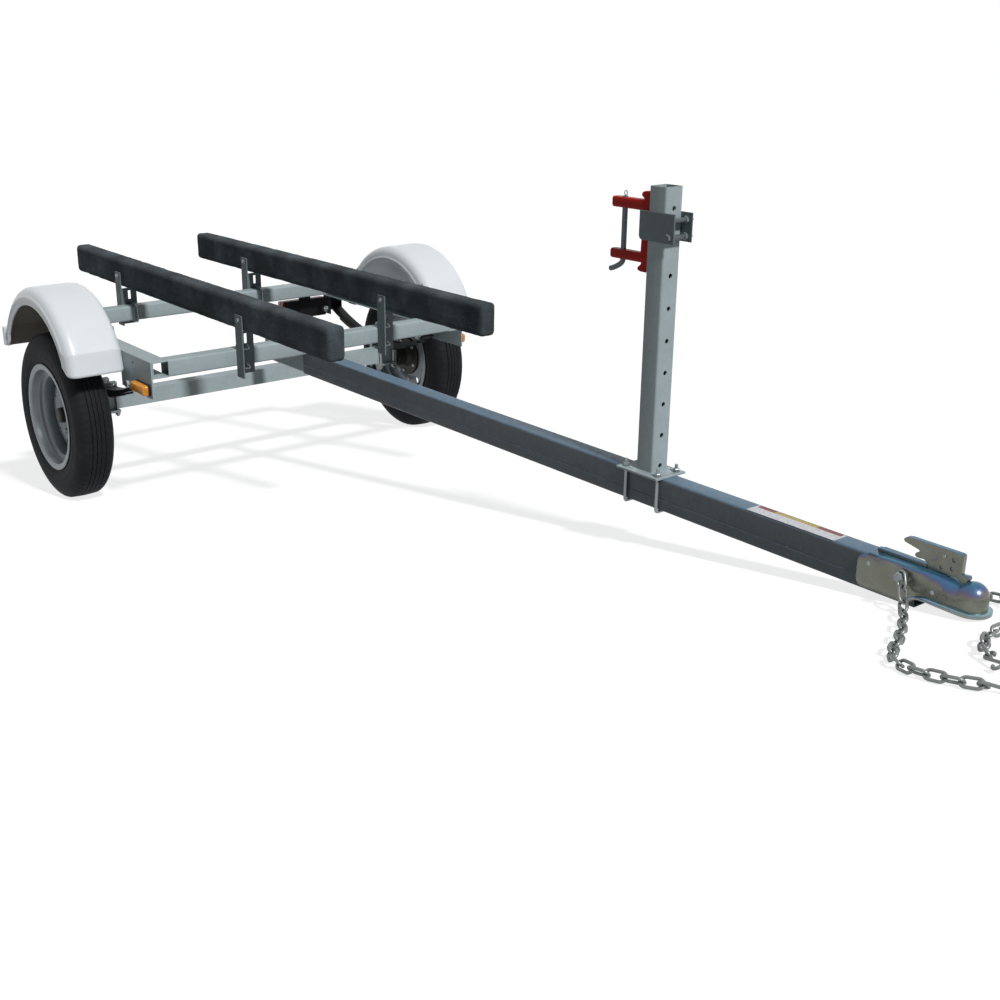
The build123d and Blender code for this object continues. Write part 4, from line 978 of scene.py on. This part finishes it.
class TRAILER_OT_coupler(Operator):
    """The pressed coupler: a channel over the beam that rounds into the ball socket's dome, with a rolled lip"""
    bl_idname = "trailer.coupler"
    bl_label = "Coupler"

    shell_rear = -2519.0

    def execute(self, context):
        self.shell()
        self.lip()
        self.latch()
        rivets = bmesh.new()
        for side in SIDES.values():
            for y, z in ((-2521, 431), (-2662, 419)):
                turned(rivets, [(28.4, 5.2), (29.6, 5), (31, 3.4), (31.8, 0.01)], side, (0, y, z), 20)
        piece("coupler_rivets", rivets, "bright", slot="yellow_zinc")
        return {"FINISHED"}

    def shell(self):
        """Sections from the beam to the nose: (y, half width, top, corner radius, bottom)."""
        dome, dome_high, half, top, bottom = 29.2, 427.0, COUPLER_HALF, 453, 402
        sections = [(self.shell_rear, half, top, 5, 379), (-2560, half, top, 5.5, 379), (-2600, half, top, 7, 379),
                    (-2612, half, top, 8, 380), (-2622, half, top, 9, 388), (-2632, half, top, 10, 397),
                    (-2645, half, top, 12, bottom), (-2660, half, 452.4, 15, bottom), (-2675, 28.7, 451, 18.5, bottom),
                    (-2688, 28.8, 449, 22, bottom), (-2699, 28.9, 447, 25.5, bottom), (-2706, 29, 446.8, 28, bottom),
                    (-2711, 29.1, 449.5, 28.9, bottom), (-2717, 29.2, 454, 29.2, bottom),
                    (BALL_Y, 29.2, 456.2, 29.2, bottom)]
        for angle in (12, 24, 36, 48, 58, 67, 75, 82, 87, 89.6):
            w, along = polar(dome, math.radians(angle))
            sections.append((BALL_Y - along, w, dome_high + w, w, bottom))
        rings = []
        for y, half, top, corner, bottom in sections:
            side = [(half, bottom + (top - corner - bottom) * k / 6) for k in range(7)]
            side += arc((half - corner, top - corner), corner, 10, 90, 8)
            side += [((half - corner) * k / 3, top) for k in (2, 1)]
            rings.append([Vector((x, y, z)) for x, z in side + [(0, top)] + [(-x, z) for x, z in side[::-1]]])
        shape = bmesh.new()
        bridge(shape, rings, closed_rings=False)
        self.cheeks(shape)
        bmesh.ops.remove_doubles(shape, verts=shape.verts, dist=0.01)
        piece("coupler_shell", shape, "zinc", hides="coupler_body", thick=3.0, angle=60)

    def cheeks(self, shape):
        """The sides reach further back than the top, with round corners."""
        rear, low, high, corner = -2496.0, 379.0, 448.0, 15.0
        for side in SIDES.values():
            rings = []
            for y in [rear - corner * t for t in (0, 0.1, 0.3, 0.6, 1)] + [self.shell_rear]:
                along = min(corner, rear - y)
                inset = corner - math.sqrt(corner ** 2 - (corner - along) ** 2)
                rings.append([Vector((side * COUPLER_HALF, y, low + inset + (high - low - 2 * inset) * k / 6))
                              for k in range(7)])
            bridge(shape, rings, closed_rings=False)

    def lip(self):
        """A flange turned out along both sides and round the nose, with its edge turned down.

        Its stations are (y, how far out it starts, height, reach).
        """
        foot, nose_height, nose_reach = 29.4, 404, 8.0
        stations = [(-2606, 29.2, 388, 0.2), (-2616, 29.2, 391, 1.5), (-2626, 29.3, 396.5, 3.0),
                    (-2638, foot, 401, 4.5), (-2652, foot, 403.5, 6.0), (-2672, foot, nose_height, 7.0),
                    (-2700, foot, nose_height, 7.6)]
        section = [(-2.0, 2.4), (0.35, 2.4), (0.75, 1.9), (1.0, 0.6), (1.02, -3.0), (1.0, -6.0), (0.9, -6.8),
                   (0.72, -6.8), (0.66, -5.8), (0.66, -2.0), (0.55, -0.6), (0.3, -0.4), (-2.0, -0.4)]
        path = [(Vector((-x, y, 0)), Vector((-1, 0, 0)), z, out) for y, x, z, out in stations]
        for x, y in arc((0, 0), 1, 180, 360, 24):
            away = Vector((x, y, 0))
            path.append((Vector((0, BALL_Y, 0)) + away * foot, away, nose_height, nose_reach))
        path += [(Vector((x, y, 0)), Vector((1, 0, 0)), z, out) for y, x, z, out in stations[::-1]]
        rings = []
        for start, away, z, out in path:
            rings.append([start + away * (u * (out if u > 0 else 0.8))
                          + Vector((0, 0, z + v * (out / nose_reach if v < 0 else 1))) for u, v in section])
        shape = bmesh.new()
        bridge(shape, rings, caps=True)
        # The lip takes the lighter film, a painted highlight.
        piece("coupler_lip", shape, "zinc_lip_highlight", angle=50)

    def latch(self):
        """A folded lever, open below, over a slide and a tongue, on its pivot pin."""
        outline = [(-2702, 454), (-2702, 497)] + arc((-2697, 497), 5, 180, 90, 4)[1:]
        outline += [(-2592, 502), (-2583, 500.5), (-2577, 496.5), (-2576, 493), (-2579, 489.5), (-2588, 487.5),
                    (-2600, 485), (-2611, 482.5), (-2611.5, 480), (-2606, 476.5), (-2603, 472.5), (-2603.5, 469),
                    (-2607, 467), (-2614, 466.8), (-2622, 468), (-2628, 465), (-2631, 460), (-2632, 453.5)]
        inside = [(-2699.4, 440), (-2699.4, 496), (-2696, 499.4), (-2594, 499.4), (-2560, 499.4), (-2560, 440)]
        cuts = prism(bmesh.new(), inside, "x", -3.4, 3.4)
        for y, z, r in ((-2684, 486, 4.4), (-2682, 468, 4.6), (-2660, 464, 4.0)):
            prism(cuts, circle(r, 20, (y, z)), "x", -20, 20)
        piece("coupler_latch_lever", prism(bmesh.new(), outline, "x", -5.4, 5.4), "zinc", hides="coupler_latch",
              holes=cuts, edge=1.0, angle=30)
        slide = prism(bmesh.new(), rounded(12, 108, 2, (0, -2576)), "z", 453.2, 460)
        tongue = [(-2694, 452), (-2694, 462), (-2716, 464), (-2719, 459), (-2713, 449), (-2707, 446)]
        prism(slide, tongue, "x", -5.5, 5.5)
        piece("coupler_slide", slide, "zinc", edge=1.2, segments=3)
        pivot = wire(bmesh.new(), [(-7.5, -2664, 487), (7.5, -2664, 487)], 3.6, sides=16)
        piece("coupler_pivot_pins", pivot, "bright", edge=0.5)


class TRAILER_OT_chains(Operator):
    """Two safety chains of welded round-wire links, each with an S-hook at its end, and their cross bolt"""
    bl_idname = "trailer.chains"
    bl_label = "Safety chains"

    link_inside, link_width, hook_wire = 30.5, 24.3, 3.2
    # Links, degrees downwards, and degrees that each link swings to the right
    runs = {
        "right": [(1, 60, 45), (1, 42, 6), (1, 22, 3), (1, 5, 2), (1, 0, 0), (5, 0, 2), (4, 0, -16), (3, 0, -6)],
        "left": [(1, 60, -45), (1, 41, 7), (1, 20.5, 8), (1, 4, 8), (1, 0, 10), (6, 0, 16), (2, 0, 4), (4, 0, -12)],
    }

    def execute(self, context):
        for name, side in SIDES.items():
            self.chain(name, side, context.scene.trailer_sizes.link_wire / MM)
        y, z = CHAIN_BOLT_Y, CHAIN_BOLT_Z
        bolt = wire(bmesh.new(), [(-42.5, y, z), (42.5, y, z)], 5.0, sides=16)
        for side in SIDES.values():
            nut(bolt, "x", (side * 43, y, z), 10, side * 6, 0.2)
            washer(bolt, "x", (side * 28.7, y, z), 9.5, side * 1.6)
        piece("chain_cross_bolt", bolt, "bright", hides="chain_bolt")
        return {"FINISHED"}

    def chain(self, name, side, size):
        """Each link stands at right angles to the one before it; sizes are millimetres of the parked trailer."""
        start = LEVEL @ Vector((side * 36.5, CHAIN_BOLT_Y, CHAIN_BOLT_Z)) / MM
        shape = bmesh.new()
        swung, before = 0, None
        for links, dip, swing in self.runs[name]:
            for _ in range(links):
                swung += swing
                level, down = polar(1, math.radians(dip))
                back, right = polar(level, math.radians(swung))
                heading = Vector((-right, -back, -down))
                if before is None:
                    middle = start + heading * (self.link_inside / 2 - 7.0)
                    facing = (Vector((1, 0, 0)) - heading * heading.x).normalized()
                else:
                    step = self.link_inside - 0.2 - 0.08 * math.degrees(before.angle(heading))
                    middle = middle + (before + heading) * (step / 2)
                    facing = heading.cross(facing).normalized()
                before = heading
                self.link(shape, middle, heading, heading.cross(facing), size)
        eye = middle + heading * (self.link_inside + size) / 2
        across = heading.cross(heading.cross(facing))
        wire(shape, [eye + heading * u + across * v for u, v in self.hook()], self.hook_wire, sides=12)
        piece(f"chain_{name}_links", shape, "chain", place=Matrix.Scale(MM, 4), hides=f"chain_{name}", angle=60)

    def link(self, shape, middle, heading, across, size):
        """One oval link: two straight sides and two half circles."""
        radius = (self.link_width - size) / 2
        straight = (self.link_inside + size) / 2 - radius
        flat = arc((straight, 0), radius, -90, 90, 8) + arc((-straight, 0), radius, 90, 270, 8)
        wire(shape, [middle + heading * u + across * v for u, v in flat], size / 2 - 0.1, closed=True)

    def hook(self):
        """The S of the hook: two bends that turn opposite ways, with a shank between them."""
        radius, shank, sweep = 8.5, 46.0, 230.0
        bend = arc((0, 0), radius, 90, 90 + sweep, 14)
        return bend[::-1] + [(shank - u, -v) for u, v in bend]


class TRAILER_OT_lamps(Operator):
    """Amber side lamps in black shoes and red-lensed tail lamps in black housings"""
    bl_idname = "trailer.lamps"
    bl_label = "Lamps"

    def execute(self, context):
        amber, shoes, red, black, screws = (bmesh.new() for _ in range(5))
        side_lamp, tail_z = (-389, 415), 395
        for side in SIDES.values():
            prism(shoes, rounded(98, 34, 8, side_lamp, 6), "x", side * 566.4, side * 574)
            crowned(amber, "x", 98, 34, side_lamp, [(side * 574, 1.5, 7.25), (side * 584, 2.2, 6.9),
                                                    (side * 588, 4.5, 5.75), (side * 589.9, 9, 3.5)])
            for y in (-428, -350):
                turned(screws, [(588, 3.6), (590, 3.4), (590, 0.01)], side, (0, y, side_lamp[1]), 16)
            prism(black, rounded(182, 69, 4, (side * 462.5, tail_z), 5), "y", 413, 431)
            crowned(red, "y", 192.6, 69.6, (side * 457.5, tail_z),
                    [(431, 0, 6), (448, 0.5, 6), (454, 2.5, 6), (456.7, 7, 6)])
            prism(red, rounded(9, 66, 2, (side * 366, tail_z), 3), "y", 413.5, 432)
        piece("side_lamp_shoes", shoes, "housing", edge=1.0)
        piece("side_lamp_lenses", amber, "amber", hides="side_markers", angle=40)
        piece("side_lamp_screws", screws, "bright")
        piece("tail_lamp_housings", black, "housing", hides="tail_light_housings", edge=1.5)
        piece("tail_lamp_lenses", red, "tail", hides="tail_light_lenses", angle=40)
        return {"FINISHED"}


# Stage

def seen_directly(tree):
    """1 where the camera, a reflection or a clear surface looks at it, and 0 where it lights a dull one."""
    rays = add(tree, "LightPath").outputs
    seen = add(tree, "Math", {0: rays["Is Camera Ray"], 1: rays["Is Glossy Ray"]}, operation="MAXIMUM")
    return add(tree, "Math", {0: seen, 1: rays["Is Transmission Ray"]}, operation="MAXIMUM")


class TRAILER_OT_stage(Operator):
    """Pale floor, soft lights and the camera"""
    bl_idname = "trailer.stage"
    bl_label = "Stage"

    def execute(self, context):
        sizes = context.scene.trailer_sizes
        scene = context.scene
        scene.view_settings.view_transform = "Standard"
        self.camera(scene, sizes.camera_lens)
        self.floor()
        self.surroundings(scene, sizes.world)
        self.sun(scene, sizes)
        return {"FINISHED"}

    def camera(self, scene, focal_length):
        """Aimed by yaw, pitch and roll over the level trailer, then tipped with it."""
        stand = Vector((-2064.35, -3896.57, 1399.78))
        yaw, pitch, roll = (math.radians(v) for v in (36.76, 19.48, -0.08))
        level, down = polar(1, pitch)
        ahead, across = polar(1, yaw)
        forward = Vector((across * level, ahead * level, -down))
        right = Vector((ahead, -across, 0))
        up = right.cross(forward)
        right, up = right * math.cos(roll) + up * math.sin(roll), up * math.cos(roll) - right * math.sin(roll)
        data = bpy.data.cameras.new("camera")
        data.lens = focal_length
        data.sensor_width = 36.0
        data.sensor_fit = "HORIZONTAL"
        data.shift_x, data.shift_y = 0.0501, -0.0081
        data.clip_end = 200
        data.dof.use_dof = False
        obj = bpy.data.objects.new("camera", data)
        obj.matrix_world = (Matrix.Translation(LEVEL @ stand) @ Matrix.Rotation(PARK_ANGLE, 4, "X")
                            @ Matrix((right, up, -forward)).transposed().to_4x4())
        scene.collection.objects.link(obj)
        scene.camera = obj

    def floor(self):
        """Matt grey for the object's shadow, lit from within to near white."""
        shape = bmesh.new()
        bmesh.ops.create_grid(shape, x_segments=8, y_segments=8, size=60.0)
        obj = new_object("studio_floor", shape, Matrix())
        material = bpy.data.materials.new("pale_studio_floor")
        tree = emptied(material)
        matt = add(tree, "BsdfDiffuse", {"Color": (*grey(0.36), 1)})
        level = add(tree, "Math", {0: seen_directly(tree), 1: 0.8}, operation="MULTIPLY")
        glow = add(tree, "Emission", {"Strength": level})
        both = add(tree, "AddShader", {0: matt, 1: glow})
        add(tree, "OutputMaterial", {"Surface": both})
        obj.data.materials.append(material)

    def surroundings(self, scene, brightness):
        """White behind the object and in its reflections; on the object itself a faint, slightly blue light."""
        scene.world = bpy.data.worlds.new("studio")
        tree = emptied(scene.world)
        seen = seen_directly(tree)
        level = add(tree, "MapRange", {"Value": seen, "To Min": brightness, "To Max": 1.0})
        hue = add(tree, "Mix", {0: seen, 6: (0.88, 0.95, 1, 1), 7: (1, 1, 1, 1)}, data_type="RGBA")
        light = add(tree, "Background", {"Color": hue, "Strength": level})
        add(tree, "OutputWorld", {"Surface": light})

    def sun(self, scene, sizes):
        lamp = bpy.data.lights.new("key_light", "SUN")
        lamp.energy = sizes.key_power
        lamp.angle = math.radians(6)
        level, up = polar(1, sizes.key_height)
        ahead, across = polar(level, sizes.key_turn)
        obj = bpy.data.objects.new("key_light", lamp)
        obj.rotation_euler = Vector((across, -ahead, up)).to_track_quat("Z", "Y").to_euler()
        scene.collection.objects.link(obj)


OPERATORS = (TRAILER_OT_stage, TRAILER_OT_tyres, TRAILER_OT_rims, TRAILER_OT_hubs, TRAILER_OT_fenders, TRAILER_OT_frame,
             TRAILER_OT_bunks, TRAILER_OT_bunk_bolts, TRAILER_OT_post, TRAILER_OT_bow_stop, TRAILER_OT_coupler,
             TRAILER_OT_chains, TRAILER_OT_lamps)


class TRAILER_PT_panel(Panel):
    """Lists the trailer's pieces and its sizes and colours"""
    bl_label = "Boat Trailer"
    bl_idname = "TRAILER_PT_panel"
    bl_space_type = "VIEW_3D"
    bl_region_type = "UI"
    bl_category = "Trailer"

    def draw(self, context):
        for operator in OPERATORS:
            self.layout.operator(operator.bl_idname)
        for group in (context.scene.trailer_sizes, context.scene.trailer_colours):
            for name in group.__annotations__:
                self.layout.prop(group, name)


CLASSES = (TrailerColours, TrailerSizes, *OPERATORS, TRAILER_PT_panel)


def register():
    for cls in CLASSES:
        bpy.utils.register_class(cls)
    bpy.types.Scene.trailer_sizes = PointerProperty(type=TrailerSizes)
    bpy.types.Scene.trailer_colours = PointerProperty(type=TrailerColours)


def unregister():
    del bpy.types.Scene.trailer_sizes
    del bpy.types.Scene.trailer_colours
    for cls in reversed(CLASSES):
        bpy.utils.unregister_class(cls)


def main():
    register()
    make_finishes(bpy.context.scene.trailer_colours)
    for operator in OPERATORS:
        group, name = operator.bl_idname.split(".")
        getattr(getattr(bpy.ops, group), name)()


if __name__ == "__main__":
    main()
